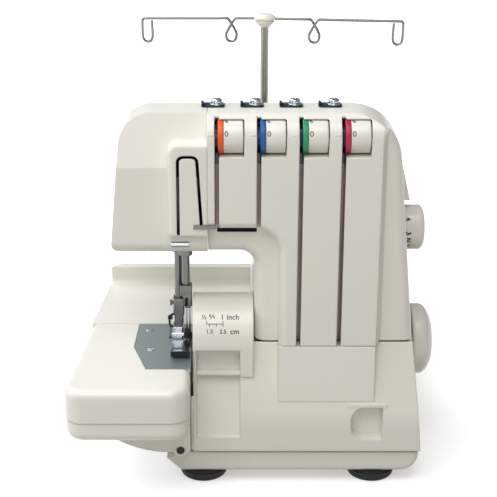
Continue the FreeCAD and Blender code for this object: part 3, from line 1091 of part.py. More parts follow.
def make_side_controls():
    """Stitch length dial, side lever, power inlet with its rocker switch, presser lifter."""
    dial = new_body("stitch_length_dial")
    boss(dial, "stitch_disc", "YZ_Plane", "stitch_left", "stitch_end", "shaft_y", "stitch_z",
         "stitch_radius")
    fillet(dial, "stitch_edge", "stitch_round", edge_at(x="stitch_end"))
    boss(dial, "stitch_spindle", "YZ_Plane", "side_shaft_end", "stitch_left", "shaft_y", "stitch_z",
         "stitch_shaft")
    lever = new_body("side_lever")
    pad(lever, "lever_wedge", "XZ_Plane", "shaft_y - lever_half", "shaft_y + lever_half", [
        ("lever_left", "lever_low"), ("lever_tip", "lever_low"), ("lever_left + lever_edge", "lever_top"),
        ("lever_left", "lever_top")])
    boss(lever, "lever_pivot", "YZ_Plane", "lever_shaft_end", "lever_left", "shaft_y", "lever_z",
         "lever_pin")
    inlet = new_body("power_inlet")
    pad(inlet, "inlet_block", "YZ_Plane", "inlet_left", "inlet_right", box_corners(
        "inlet_front", "inlet_low", "inlet_rear", "inlet_high"))
    well = box_corners("rocker_front - rocker_gap", "rocker_low - rocker_gap", "rocker_rear + rocker_gap",
                       "rocker_high + rocker_gap")
    pocket(inlet, "rocker_well", "YZ_Plane", "inlet_right - socket_depth", "inlet_right + over", well)
    pocket(inlet, "socket", "YZ_Plane", "inlet_right - socket_depth", "inlet_right + over", box_corners(
        "rocker_rear + wall + rocker_gap", "rocker_low", "inlet_rear - wall", "rocker_high"))
    rocker_x = "inlet_right - socket_depth / 2"
    rocker_z = "(rocker_low + rocker_high) / 2"
    bore(inlet, "rocker_pin_bore", "XZ_Plane", "inlet_front - over", "rocker_rear + wall / 2 + rocker_gap",
         rocker_x, rocker_z, "rocker_pin + fit")
    tip_low, tip_high = "rocker_low + 2 * rocker_gap", "rocker_high - 2 * rocker_gap"
    rocker = new_body("power_switch")
    pad(rocker, "rocker_body", "XZ_Plane", "rocker_front", "rocker_rear", [
        (f"{rocker_x} - rocker_pin", f"{rocker_z} - 2 * rocker_pin"),
        ("inlet_right - rocker_gap", tip_low), ("inlet_right + rocker_rise", tip_low),
        ("inlet_right", rocker_z), ("inlet_right + rocker_rise", tip_high),
        ("inlet_right - rocker_gap", tip_high),
        (f"{rocker_x} - rocker_pin", f"{rocker_z} + 2 * rocker_pin")])
    boss(rocker, "rocker_pivot", "XZ_Plane", "inlet_front", "rocker_rear + wall / 2", rocker_x, rocker_z,
         "rocker_pin")
    shaft = rod("lifter_shaft_rod", "Y", "lifter_inner", "lifter_handle_front", "lifter_x", "lifter_z",
                "lifter_shaft")
    hub = rod("lifter_hub", "Y", "lifter_handle_front", "lifter_handle_rear", "lifter_x", "lifter_z",
              "lifter_shaft + wall")
    handle = block("lifter_handle", "lifter_x", "lifter_x + lifter_reach", "lifter_handle_front",
                   "lifter_handle_rear", "lifter_z - lifter_half", "lifter_z + lifter_half")
    node(fuse("presser_lifter", shaft, hub, handle))


# Thread stand

def half_ring(name, x, z, turn):
    """Make half a ring of the guide wire that opens down (turn 90) or up (turn -90)."""
    item = doc.addObject("Part::Torus", name)
    item.setExpression("Radius1", bound("eyelet_half"))
    item.setExpression("Radius2", bound("wire_radius"))
    item.Angle3 = 180
    place(item, x, "pole_y", z)
    item.Placement.Rotation = FreeCAD.Rotation(FreeCAD.Vector(1, 0, 0), turn)
    return item


def make_thread_stand():
    """Spool stand with four pins and the telescopic pole with its guide bar."""
    top = "stand_low + stand_thickness"
    stand = new_body("spool_stand")
    pad(stand, "stand_plate", "XY_Plane", "stand_low", top, box_corners(
        "stand_left", "body_rear", "stand_right", "stand_rear"))
    fillet(stand, "stand_left_corner", "stand_corner", edge_at(x="stand_left", y="stand_rear"))
    fillet(stand, "stand_right_corner", "stand_corner", edge_at(x="stand_right", y="stand_rear"))
    pad(stand, "stand_lip", "XY_Plane", "stand_lip_low", "stand_lip_high", box_corners(
        "foot_left_x", "body_rear", "foot_right_x", "body_rear + stand_lip_depth"))
    boss(stand, "collar", "XY_Plane", top, f"{top} + collar_height", "pole_x", "pole_y", "collar_radius")
    bore(stand, "collar_bore", "XY_Plane", top, f"{top} + collar_height + over", "pole_x", "pole_y",
         "tube_radius + fit")
    pins = []
    for i in range(4):
        x = f"(spool_first + {i} * spool_pitch)"
        pin = rod(f"spool_pin_{i}_rod", "Z", top, "spool_pin_top", x, "spool_y", "spool_pin_radius")
        seat = rod(f"spool_seat_{i}", "Z", top, f"{top} + spool_seat", x, "spool_y", "spool_seat_radius")
        pins.append(fuse(f"spool_pin_{i}", pin, seat))
    node(group("spool_pins", *pins))
    outer = rod("tube_outer", "Z", top, "tube_top", "pole_x", "pole_y", "tube_radius")
    inner = rod("tube_inner", "Z", f"{top} + wall", "tube_top + over", "pole_x", "pole_y",
                "rod_radius + fit")
    node(cut("antenna_tube", outer, inner))
    node(rod("antenna_rod", "Z", "rod_low", "rod_top", "pole_x", "pole_y", "rod_radius"))
    cap = block("cap_block", "pole_x - cap_half", "pole_x + cap_half", "pole_y - cap_depth_half",
                "pole_y + cap_depth_half", "cap_low", "cap_top")
    rod_seat = rod("cap_rod_seat", "Z", "cap_low - over", "rod_top", "pole_x", "pole_y", "rod_radius + fit")
    wire_seat = rod("cap_wire_seat", "X", "pole_x - cap_half - over", "pole_x + cap_half + over", "pole_y",
                    "bar_z", "wire_radius + fit")
    node(cut("antenna_cap", cap, rod_seat, wire_seat))
    last = "spool_first + 3 * spool_pitch"
    pieces = [rod("guide_wire", "X", "spool_first", last, "pole_y", "bar_z", "wire_radius")]
    for i in range(4):
        x = f"(spool_first + {i} * spool_pitch)"
        high = "bar_z - eyelet_half - wire_radius / 2"
        low = f"{high} - eyelet_straight"
        pieces.append(half_ring(f"eyelet_top_{i}", x, high, 90))
        pieces.append(half_ring(f"eyelet_bottom_{i}", x, low, -90))
        for side in "-+":
            leg = f"eyelet_{'left' if side == '-' else 'right'}_{i}"
            pieces.append(rod(leg, "Z", low, high, f"{x} {side} eyelet_half", "pole_y", "wire_radius"))
    node(fuse("thread_guide_bar", *pieces))


MAKERS = (
    make_base_pan, make_rubber_feet, make_rear_housing, make_front_panel, make_face_cover,
    make_looper_cover, make_cover_pins, make_cloth_plate, make_side_cover, make_swing_pin, make_bed,
    make_needle_plate, make_needle_bar, make_presser, make_bar_bushes, make_knives, make_loopers,
    make_feed_dogs, make_drive, make_belt, make_chassis, make_tension, make_thread_guides,
    make_side_controls, make_thread_stand,
)
for maker in MAKERS:
    maker()
doc.recompute()

for item in doc.Objects:
    if "Invalid" in item.State or "Error" in item.State:
        raise RuntimeError(f"{item.Label}: {item.State}")
for item in NODES:
    if item.Shape.isNull() or not item.Shape.isValid() or not item.Shape.Solids:
        raise RuntimeError(f"{item.Label} has no valid solid")

os.makedirs("parts", exist_ok=True)
for item in NODES:
    item.Shape.exportStep(f"parts/{item.Label}.step")
    print(item.Label, len(item.Shape.Solids), round(item.Shape.Volume))
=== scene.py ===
"""Looks of a four-thread serger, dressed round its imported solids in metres."""
import json
import logging
import math
from collections.abc import Sequence
from dataclasses import dataclass
from enum import Enum

import bmesh
import bpy
import numpy as np
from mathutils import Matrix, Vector


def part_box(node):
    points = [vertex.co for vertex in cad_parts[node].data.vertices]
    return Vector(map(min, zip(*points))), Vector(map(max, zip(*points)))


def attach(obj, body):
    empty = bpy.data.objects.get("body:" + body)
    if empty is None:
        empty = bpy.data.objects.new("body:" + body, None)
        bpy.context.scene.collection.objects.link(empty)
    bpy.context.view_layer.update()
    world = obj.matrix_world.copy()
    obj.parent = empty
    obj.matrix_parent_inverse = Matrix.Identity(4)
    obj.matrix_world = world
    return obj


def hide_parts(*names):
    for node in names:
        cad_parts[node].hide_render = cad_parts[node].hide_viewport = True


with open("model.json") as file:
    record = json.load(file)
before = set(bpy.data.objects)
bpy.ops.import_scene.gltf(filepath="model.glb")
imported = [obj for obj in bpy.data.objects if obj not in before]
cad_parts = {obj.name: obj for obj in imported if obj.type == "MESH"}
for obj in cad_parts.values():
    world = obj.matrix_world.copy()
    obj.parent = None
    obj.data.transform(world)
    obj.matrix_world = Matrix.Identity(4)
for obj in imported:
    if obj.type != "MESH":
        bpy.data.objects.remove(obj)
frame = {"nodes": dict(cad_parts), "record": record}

Tree = bpy.types.NodeTree
Socket = bpy.types.NodeSocket
Pair = tuple[float, float]
Point = tuple[float, float, float]
Patch = tuple[np.ndarray, np.ndarray]

LOG = logging.getLogger("serger")
MM = 0.001
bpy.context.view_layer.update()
PHOTO_PIXELS = 497
WHITE = "#FFFFFF"
NOISE, RANGE, VECTOR = "ShaderNodeTexNoise", "ShaderNodeMapRange", "ShaderNodeVectorMath"
# Each axis with the two that follow it
AXES = {"X": (0, 1, 2), "Y": (1, 2, 0), "Z": (2, 0, 1)}
# Share by which roughness drifts to either side of its middle
GLOSS_DRIFT = 0.15
# In metres: a point this near a box counts as inside, and points this near each other as one
INSIDE_M, WELD_M = 1e-7, 2e-7
# Edges sharper than this stay hard in the shading
HARD_EDGE_DEG = 38.0
# A rounded corner takes at most this share of the side next to it
SIDE_SHARE = 0.48
# A side of no length counts as this long, so that it has a direction
LEAST_SIDE = 1e-9
# Height of a capital as a share of the font's size
CAPITAL_SHARE = 0.7
# How far print stands on a turned surface
PRINT_MM = 0.06


def linear(code: str) -> tuple[float, float, float, float]:
    """Turn an sRGB hex colour into linear light.

    Args:
        code: colour such as "#E9E6DC".

    Returns:
        Linear red, green, blue and an alpha of 1.
    """
    parts = [int(code[i:i + 2], 16) / 255 for i in (1, 3, 5)]
    red, green, blue = (p / 12.92 if p <= 0.04045 else ((p + 0.055) / 1.055) ** 2.4 for p in parts)
    return red, green, blue, 1.0


def add_node(tree: Tree, kind: str, settings: dict | None = None,
             links: dict | None = None) -> bpy.types.Node:
    """Add one shader node with its settings and the links into it.

    Args:
        tree: node tree of a material or of the world.
        kind: node type, such as "ShaderNodeMath".
        settings: attribute or input name to value; an input is named by its label or index.
        links: input name or index to an output socket.

    Returns:
        The new node.
    """
    node = tree.nodes.new(kind)
    for key, value in (settings or {}).items():
        if isinstance(key, int) or key in node.inputs:
            node.inputs[key].default_value = value
        else:
            setattr(node, key, value)
    for key, socket in (links or {}).items():
        tree.links.new(socket, node.inputs[key])
    return node


def empty_tree(owner: bpy.types.Material | bpy.types.World) -> Tree:
    """Clear the node tree of a material or of the world.

    Args:
        owner: what the tree belongs to.

    Returns:
        Its tree, without nodes.
    """
    owner.use_nodes = True
    owner.node_tree.nodes.clear()
    return owner.node_tree


def link(name: str, data: bpy.types.ID) -> bpy.types.Object:
    """Put a mesh, text, lamp or camera into the scene.

    Args:
        name: name of the object.
        data: what it shows.

    Returns:
        The new object.
    """
    item = bpy.data.objects.new(name, data)
    bpy.context.collection.objects.link(item)
    return item


class Slot(Enum):
    """Material slots of the record."""

    CREAM = "cream_abs"
    ORANGE = "ring_orange"
    BLUE = "ring_blue"
    GREEN = "ring_green"
    CRIMSON = "ring_crimson"
    STEEL = "ground_steel"
    CHROME = "bright_chrome"
    BLACK_STEEL = "black_steel"
    CAST = "cast_aluminium"
    RUBBER = "black_rubber"
    BLACK_PLASTIC = "black_plastic"

    @property
    def colour(self) -> str:
        """Return the colour word of a ring's slot."""
        return self.value.removeprefix("ring_")


@dataclass(frozen=True)
class Finish:
    """One real finish: what it is made of and what its surface shows.

    Attributes:
        name: common name of the material and how it was made.
        colour: sRGB hex colour.
        roughness: middle roughness of the surface.
        metallic: 1 for bare metal.
        grain_mm: size of the fine texture.
        bump_mm: height of the fine texture.
        stretch: how much longer the texture is than wide, for ground metal, per axis.
        wander: share by which the colour drifts over the piece.
        drift_mm: size of that drift.
        coat: clear gloss on top.
        edge_mm: radius that the light shows on moulded or ground edges.
    """

    name: str
    colour: str
    roughness: float
    metallic: float = 0.0
    grain_mm: float = 0.8
    bump_mm: float = 0.01
    stretch: Point = (1.0, 1.0, 1.0)
    wander: float = 0.04
    drift_mm: float = 40.0
    coat: float = 0.0
    edge_mm: float = 0.0

    def material(self) -> bpy.types.Material:
        """Give the Blender material of this finish, made on first use.

        Returns:
            The material.
        """
        found = bpy.data.materials.get(self.name)
        if found:
            return found
        material = bpy.data.materials.new(self.name)
        tree = empty_tree(material)
        place = add_node(tree, "ShaderNodeTexCoord").outputs["Object"]
        shader = self.shade(tree, place)
        add_node(tree, "ShaderNodeOutputMaterial", links={"Surface": shader.outputs["BSDF"]})
        return material

    def shade(self, tree: Tree, place: Socket) -> bpy.types.Node:
        """Build the shader: slow drift of tone and gloss, and fine relief.

        Args:
            tree: the material's node tree.
            place: object coordinates in metres.

        Returns:
            The principled shader node.
        """
        drift = add_node(tree, NOISE, {"Scale": 1 / (self.drift_mm * MM), "Detail": 3.0},
                         {"Vector": place}).outputs["Fac"]
        tone = add_node(tree, RANGE, {"To Min": 1 - self.wander, "To Max": 1 + self.wander / 2},
                        {"Value": drift})
        base = add_node(tree, VECTOR, {"operation": "SCALE", 0: linear(self.colour)[:3]},
                        {"Scale": tone.outputs["Result"]})
        gloss = add_node(tree, RANGE, {"To Min": self.roughness * (1 - GLOSS_DRIFT),
                                       "To Max": self.roughness * (1 + GLOSS_DRIFT)}, {"Value": drift})
        squeeze = add_node(tree, "ShaderNodeMapping", {"Scale": tuple(1 / s for s in self.stretch)},
                           {"Vector": place})
        fine = add_node(tree, NOISE, {"Scale": 1 / (self.grain_mm * MM), "Detail": 2.0},
                        {"Vector": squeeze.outputs["Vector"]})
        inputs = {"Height": fine.outputs["Fac"]}
        if self.edge_mm:
            bevel = add_node(tree, "ShaderNodeBevel", {"samples": 8, "Radius": self.edge_mm * MM})
            inputs["Normal"] = bevel.outputs["Normal"]
        relief = add_node(tree, "ShaderNodeBump", {"Strength": 1.0, "Distance": self.bump_mm * MM}, inputs)
        return add_node(tree, "ShaderNodeBsdfPrincipled",
                        {"Metallic": self.metallic, "Coat Weight": self.coat, "Coat Roughness": 0.12},
                        {"Base Color": self.paint(tree, place, base.outputs["Vector"]),
                         "Roughness": gloss.outputs["Result"], "Normal": relief.outputs["Normal"]})

    def paint(self, tree: Tree, place: Socket, base: Socket) -> Socket:
        """Return the colour socket; a plain finish keeps its drifting base colour."""
        return base


@dataclass(frozen=True)
class Inlay:
    """A box of painted shade: inside it a moulding is painted a darker colour where its walls lie in shade,
    such as the walls of a slot.

    Attributes:
        low_mm: lowest corner.
        high_mm: highest corner.
        colour: sRGB hex colour of the painted shade inside.
    """

    low_mm: Point
    high_mm: Point
    colour: str

    def cover(self, tree: Tree, place: Socket, base: Socket) -> Socket:
        """Lay this painted shade over a base colour where the distance from the box is nothing.

        Args:
            tree: the material's node tree.
            place: object coordinates in metres.
            base: colour outside the box.

        Returns:
            The colour socket.
        """
        low, high = np.array(self.low_mm) * MM, np.array(self.high_mm) * MM
        past = place
        for operation, other in (("SUBTRACT", (low + high) / 2), ("ABSOLUTE", np.zeros(3)),
                                 ("SUBTRACT", (high - low) / 2), ("MAXIMUM", np.zeros(3))):
            past = add_node(tree, VECTOR, {"operation": operation, 1: tuple(other)}, {0: past}).outputs[0]
        away = add_node(tree, VECTOR, {"operation": "LENGTH"}, {0: past}).outputs["Value"]
        inside = add_node(tree, "ShaderNodeMath", {"operation": "LESS_THAN", 1: INSIDE_M}, {0: away})
        mix = add_node(tree, "ShaderNodeMix", {"data_type": "RGBA", 7: linear(self.colour)},
                       {0: inside.outputs[0], 6: base})
        return mix.outputs[2]


@dataclass(frozen=True)
class InlaidFinish(Finish):
    """Moulding with painted shade: the walls of its slots and windows, which lie in shade, are painted
    darker.

    Attributes:
        inlays: the boxes of painted shade that hold the walls of the slots and windows.
    """

    inlays: tuple[Inlay, ...] = ()

    def paint(self, tree: Tree, place: Socket, base: Socket) -> Socket:
        """Lay every box of painted shade over the base colour.

        Args:
            tree: the material's node tree.
            place: object coordinates in metres.
            base: colour outside the painted shade.

        Returns:
            The colour socket.
        """
        for shade_box in self.inlays:
            base = shade_box.cover(tree, place, base)
        return base


@dataclass(frozen=True)
class ThreadSlots:
    """Places of the four thread slots with their dial windows, and of the guide slot at the left, whose walls
    get painted shade.

    Attributes:
        first_mm: X of the first slot.
        pitch_mm: distance between slots.
        half_mm: half the width of the painted shade round a slot.
        window_mm: width of a dial window from the slot to the right.
        window_z_mm: low and high Z of the windows.
        depth_mm: front and rear Y of the painted shade.
        split_mm: Z where the deep part of a slot begins.
        ends_mm: lowest Z of each slot.
        guide_mm: lowest and highest corners of the guide slot's painted shade.
        deep: painted shade colour of the deep part, dark blue.
        shallow: painted shade colour of the shallow part, brown.
    """

    first_mm: float = -29.0
    pitch_mm: float = 30.1
    half_mm: float = 1.75
    window_mm: float = 19.6
    window_z_mm: Pair = (266.0, 287.2)
    depth_mm: Pair = (-87.4, -44.0)
    split_mm: float = 253.5
    ends_mm: tuple[float, ...] = (206.8, 206.8, 100.0, 100.0)
    guide_mm: tuple[Point, Point] = ((-29.2, -77.9, 201.9), (0.2, -60.0, 205.6))
    # Painted shade: dark blue deep in the slots and windows, brown on the shallow lower walls
    deep: str = "#2A2844"
    shallow: str = "#B8A299"

    def places(self) -> list[float]:
        """Return the X of each slot."""
        return [self.first_mm + self.pitch_mm * i for i in range(len(self.ends_mm))]

    def inlays(self) -> tuple[Inlay, ...]:
        """List the boxes of painted shade in the guide slot, the slots and the windows.

        Returns:
            The boxes.
        """
        (front, rear), (sill, head) = self.depth_mm, self.window_z_mm
        # Painted shade: dark in the guide slot, the upper slots and the windows; brown in the lower slots
        boxes = [Inlay(*self.guide_mm, self.deep)]
        for x, end in zip(self.places(), self.ends_mm):
            left, right = x - self.half_mm, x + self.half_mm
            boxes += [Inlay((left, front, end), (right, rear, self.split_mm), self.shallow),
                      Inlay((left, front, self.split_mm), (right, rear, head), self.deep),
                      Inlay((left, front, sill), (x + self.window_mm, rear, head), self.deep)]
        return tuple(boxes)


THREAD_SLOTS = ThreadSlots()
# Painted shade: the walls of the take-up groove in the face cover are painted dark blue
TAKE_UP_GROOVE_SHADE = Inlay((-60.0, -87.2, 201.5), (-38.5, -60.0, 264.0), "#2A2C56")

# Moulded ABS: an even cream with a broad satin gloss, a faint orange peel and soft mould edges
CREAM_HEX, CREAM_ROUGH = "#ECE9DF", 0.3
ABS = {"grain_mm": 1.6, "bump_mm": 0.006, "wander": 0.025, "coat": 0.25, "edge_mm": 1.6}
CREAM = Finish("cream moulded ABS", CREAM_HEX, CREAM_ROUGH, **ABS)
# The same moulding with painted shade: the walls of its slots and windows, which lie in shade, are painted
# dark blue in the deep parts and brown in the shallow ones, and those of the take-up groove dark blue
PAINTED_SLOT_SHADE = InlaidFinish("cream moulded ABS with painted slot shade", CREAM_HEX, CREAM_ROUGH,
                       inlays=THREAD_SLOTS.inlays(), **ABS)
PAINTED_GROOVE_SHADE = InlaidFinish("cream moulded ABS with painted groove shade", CREAM_HEX, CREAM_ROUGH,
                       inlays=(TAKE_UP_GROOVE_SHADE,), **ABS)
# Lines of grinding or drawing, drawn 0.5 mm wide so that they show; real ones are finer
GROUND = {"grain_mm": 0.5, "bump_mm": 0.004, "edge_mm": 0.3}
# Ground plate: a half-matt blue-grey sheen with lines from side to side
PLATE = Finish("ground steel plate", "#B2BDBE", 0.42, 0.85, stretch=(14, 1, 1), **GROUND)
# Ground tool steel: bright grey with lines from front to back
STEEL = Finish("ground tool steel", "#A7AFB0", 0.36, 1.0, stretch=(1, 14, 1), **GROUND)
# Drawn bar: dark grey shine with lines along the bar
DULL_STEEL = Finish("drawn bar steel", "#6C6C69", 0.3, 1.0, stretch=(1, 1, 14), **GROUND)
# Blued spring steel: a glossy dark blue
BLUED = Finish("blued spring steel", "#353B49", 0.24, 1.0, grain_mm=0.8, bump_mm=0.003, edge_mm=0.2)
# Drawn wire: a plain grey shine
WIRE = Finish("drawn steel wire", "#8B8B84", 0.3, 1.0, grain_mm=0.5, bump_mm=0.003)
# Chrome plate: nearly a mirror, with slow waves left by polishing
CHROME = Finish("polished chrome plate", "#C2C7CC", 0.16, 1.0, grain_mm=3.0, bump_mm=0.003, wander=0.03,
                edge_mm=0.3)
# Blackened steel: half-matt black oxide with a weak metal shine
BLACK_STEEL = Finish("blackened steel", "#1C1D20", 0.4, 0.5, grain_mm=0.6, bump_mm=0.004, edge_mm=0.2)
# Sand casting: dull grey with the print of the sand, drawn 1 mm wide so that it shows
CAST = Finish("sand-cast aluminium", "#A9ABAC", 0.55, 1.0, grain_mm=1.0, bump_mm=0.05)
# Moulded rubber: matt black with a fine grain
RUBBER = Finish("black moulded rubber", "#0B0B0C", 0.72, grain_mm=0.5, bump_mm=0.02)
# Black ABS: half-matt, with the grain of its mould
BLACK_ABS = Finish("black moulded ABS", "#1B1B1D", 0.45, grain_mm=0.7, bump_mm=0.012, edge_mm=0.4)
# Printed ink: a thin dull film, greyer where the print is small
INK = Finish("black printed ink", "#2B2A2B", 0.5, grain_mm=0.3, bump_mm=0.002)
GREY_INK = Finish("grey printed ink", "#5C5A56", 0.5, grain_mm=0.3, bump_mm=0.002)
# Coloured ABS: strong even colour with little gloss
RINGS = {slot: Finish(f"{slot.colour} moulded ABS", colour, 0.42, coat=0.05) for slot, colour in (
    (Slot.ORANGE, "#F0560F"), (Slot.BLUE, "#00549A"), (Slot.GREEN, "#1E9160"), (Slot.CRIMSON, "#B8123F"))}
FINISHES = {
    Slot.CREAM: CREAM, Slot.STEEL: STEEL, Slot.CHROME: CHROME, Slot.BLACK_STEEL: BLACK_STEEL,
    Slot.CAST: CAST, Slot.RUBBER: RUBBER, Slot.BLACK_PLASTIC: BLACK_ABS, **RINGS,
}
# Nodes that look other than their slot
NODE_FINISHES = {
    "front_panel": PAINTED_SLOT_SHADE, "face_cover": PAINTED_GROOVE_SHADE, "swing_pin": BLACK_STEEL, "antenna_tube": WIRE,
    "antenna_rod": WIRE, "needle_bar": DULL_STEEL, "presser_bar": DULL_STEEL, "needle_plate": PLATE,
    # The tension discs take the dark blued finish as painted shade: they sit inside the slots, where they
    # look dark
    "arm_thread_guide": DULL_STEEL, "tension_discs": BLUED,
}


def dress(piece: bpy.types.Object, finish: Finish) -> None:
    """Give a piece one finish.

    Args:
        piece: object to dress.
        finish: its finish.
    """
    piece.data.materials.clear()
    piece.data.materials.append(finish.material())


def dress_solids() -> None:
    """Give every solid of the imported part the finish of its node, or else of its slot."""
    slots = {row["node"]: Slot(row["material_slot"]) for row in frame["record"]["subparts"]}
    for name, node in frame["nodes"].items():
        dress(node, NODE_FINISHES.get(name, FINISHES[slots[name]]))
        LOG.info("dressed %s", name)


def box_mm(node: str) -> tuple[np.ndarray, np.ndarray]:
    """Return a node's lowest and highest corners in millimetres."""
    low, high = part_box(node)
    return np.array(low) / MM, np.array(high) / MM


def round_box(node: str) -> tuple[float, float, np.ndarray, float]:
    """Return left and right ends, centre in Y and Z, and radius of a node that is round about X."""
    low, high = box_mm(node)
    return low[0], high[0], (low[1:] + high[1:]) / 2, (high[2] - low[2]) / 2


def grid_faces(rows: int, columns: int) -> np.ndarray:
    """Join the points of a grid whose columns close into a ring: each with the next one and the row above.

    Args:
        rows: points along the grid.
        columns: points round each ring.

    Returns:
        Quads as rows of four point numbers.
    """
    row, column = np.mgrid[0:rows - 1, 0:columns]
    here, beside = row * columns + column, row * columns + (column + 1) % columns
    return np.stack([here, beside, beside + columns, here + columns], -1).reshape(-1, 4)


def rounded(corners: Sequence, radius: float, closed: bool = True, steps: int = 6) -> np.ndarray:
    """Round the corners of an outline: each becomes a quadratic curve between points on its two sides.

    Args:
        corners: points of the outline in order.
        radius: how far from a corner its curve begins.
        closed: False where the first and last points are open ends and stay sharp.
        steps: points on each curve.

    Returns:
        Points of the rounded outline.
    """
    here = np.asarray(corners, float)
    back, ahead = np.roll(here, 1, 0) - here, np.roll(here, -1, 0) - here
    back_size, ahead_size = (np.linalg.norm(v, axis=1, keepdims=True) for v in (back, ahead))
    reach = np.minimum(radius, SIDE_SHARE * np.minimum(back_size, ahead_size))
    if not closed:
        reach[[0, -1]] = 0.0
    start, end = here + back / back_size * reach, here + ahead / ahead_size * reach
    t = np.linspace(0.0, 1.0, steps)[None, :, None]
    curve = (1 - t) ** 2 * start[:, None] + 2 * t * (1 - t) * here[:, None] + t ** 2 * end[:, None]
    return curve.reshape(-1, here.shape[1])


def lathe(profile: Sequence, round_mm: float, axis: str, centre: Pair, steps: int = 72,
          bored: bool = False) -> Patch:
    """Round a profile and turn it: place along the axis, with radius times cosine and sine beside it.

    Args:
        profile: rows of place along the axis and radius.
        round_mm: rounding of the profile's corners.
        axis: "X", "Y" or "Z".
        centre: where the axis stands, in the order of the two axes that follow it.
        steps: points round the axis.
        bored: True where the profile returns to its start, for a piece with a bore.

    Returns:
        Points and faces.
    """
    outline = rounded(profile, round_mm, closed=False)
    if bored:
        outline = np.vstack([outline, outline[:1]])
    along, radius = outline.T
    turn = np.linspace(0.0, 2 * np.pi, steps, endpoint=False)
    first, second, third = AXES[axis]
    points = np.zeros((len(along), steps, 3))
    points[..., first] = along[:, None]
    points[..., second] = centre[0] + radius[:, None] * np.cos(turn)
    points[..., third] = centre[1] + radius[:, None] * np.sin(turn)
    return points.reshape(-1, 3), grid_faces(len(along), steps)


def loft(outline: np.ndarray, axis: str, stations: Sequence) -> Patch:
    """Carry a closed outline along an axis, drawn in at each station by its inset, and close both ends.

    Args:
        outline: anticlockwise points in the plane of the two axes that follow the axis.
        axis: "X", "Y" or "Z".
        stations: rows of place along the axis and inset.

    Returns:
        Points and faces.
    """
    ring = np.asarray(outline, float)
    run = np.roll(ring, -1, 0) - np.roll(ring, 1, 0)
    length = np.maximum(np.linalg.norm(run, axis=1, keepdims=True), LEAST_SIDE)
    outward = np.stack([run[:, 1], -run[:, 0]], -1) / length
    along, inset = np.asarray(stations, float).T
    flat = ring[None] - inset[:, None, None] * outward[None]
    middle = np.broadcast_to(ring.mean(0), flat[:1].shape)
    flat = np.concatenate([middle, flat, middle])
    along = np.concatenate([along[:1], along, along[-1:]])
    points = np.zeros((*flat.shape[:2], 3))
    first, second, third = AXES[axis]
    points[..., first] = along[:, None]
    points[..., second], points[..., third] = flat[..., 0], flat[..., 1]
    return points.reshape(-1, 3), grid_faces(len(along), len(ring))


def block(low: Sequence, high: Sequence, round_mm: float, edge_mm: float) -> Patch:
    """Make a rounded block: a rounded rectangle carried up Z, its ends drawn in along a quarter circle.

    Args:
        low: lowest corner.
        high: highest corner.
        round_mm: rounding of the four upright edges.
        edge_mm: rounding of the edges of both ends.

    Returns:
        Points and faces.
    """
    a, b, c, d = low[0], high[0], low[1], high[1]
    outline = rounded([(a, c), (b, c), (b, d), (a, d)], round_mm)
    quarter = np.linspace(0.0, np.pi / 2, 5)
    rise, inset = edge_mm * (1 - np.cos(quarter)), edge_mm * (1 - np.sin(quarter))
    stations = np.concatenate([np.stack([low[2] + rise, inset], -1),
                               np.stack([high[2] - rise, inset], -1)[::-1]])
    return loft(outline, "Z", stations)


def tube(path: np.ndarray, radius: float, steps: int = 14) -> Patch:
    """Carry a circle along a path: the path's direction, the Y axis and their cross product frame each ring.

    Args:
        path: points of the middle line.
        radius: radius of the tube.
        steps: points round each ring.

    Returns:
        Points and faces, with both ends closed.
    """
    path = np.asarray(path, float)
    ahead = np.gradient(path, axis=0)
    ahead /= np.linalg.norm(ahead, axis=1, keepdims=True)
    lift = np.cross(ahead, (0.0, 1.0, 0.0))
    lift /= np.linalg.norm(lift, axis=1, keepdims=True)
    side = np.cross(lift, ahead)
    turn = np.linspace(0.0, 2 * np.pi, steps, endpoint=False)[None, :, None]
    rings = path[:, None] + radius * (np.cos(turn) * side[:, None] + np.sin(turn) * lift[:, None])
    ends = np.broadcast_to(path[[0, -1], None], (2, steps, 3))
    rings = np.concatenate([ends[:1], rings, ends[1:]])
    return rings.reshape(-1, 3), grid_faces(len(rings), steps)


def smooth(points: Sequence, steps: int = 8) -> np.ndarray:
    """Run a path through points, each span a cubic whose slope at a point joins its two neighbours.

    Args:
        points: points to pass through.
        steps: points on each span.

    Returns:
        Points of the path.
    """
    spots = np.asarray(points, float)
    spots = np.vstack([2 * spots[0] - spots[1], spots, 2 * spots[-1] - spots[-2]])
    a, b, c, d = (spots[i:len(spots) - 3 + i, None] for i in range(4))
    t = np.linspace(0.0, 1.0, steps, endpoint=False)[None, :, None]
    spans = (2 * b + (c - a) * t + (2 * a - 5 * b + 4 * c - d) * t ** 2
             + (3 * b - a - 3 * c + d) * t ** 3) / 2
    return np.vstack([spans.reshape(-1, 3), spots[-2:-1]])


def words(text: str, height: float, weight: float = 0.02) -> Patch:
    """Make the flat triangles of a short text, centred.

    Args:
        text: the text.
        height: height of its capitals.
        weight: how far its strokes swell, as a share of the height.

    Returns:
        Points and faces.
    """
    curve = bpy.data.curves.new("words", "FONT")
    curve.body, curve.align_x, curve.align_y = text, "CENTER", "CENTER"
    curve.size, curve.offset = height / CAPITAL_SHARE, height * weight
    holder = link("words", curve)
    mesh = bpy.data.meshes.new_from_object(holder.evaluated_get(bpy.context.evaluated_depsgraph_get()))
    mesh.calc_loop_triangles()
    points = np.zeros(len(mesh.vertices) * 3)
    faces = np.zeros(len(mesh.loop_triangles) * 3, dtype=int)
    mesh.vertices.foreach_get("co", points)
    mesh.loop_triangles.foreach_get("vertices", faces)
    bpy.data.objects.remove(holder)
    bpy.data.curves.remove(curve)
    bpy.data.meshes.remove(mesh)
    return points.reshape(-1, 3), faces.reshape(-1, 3)


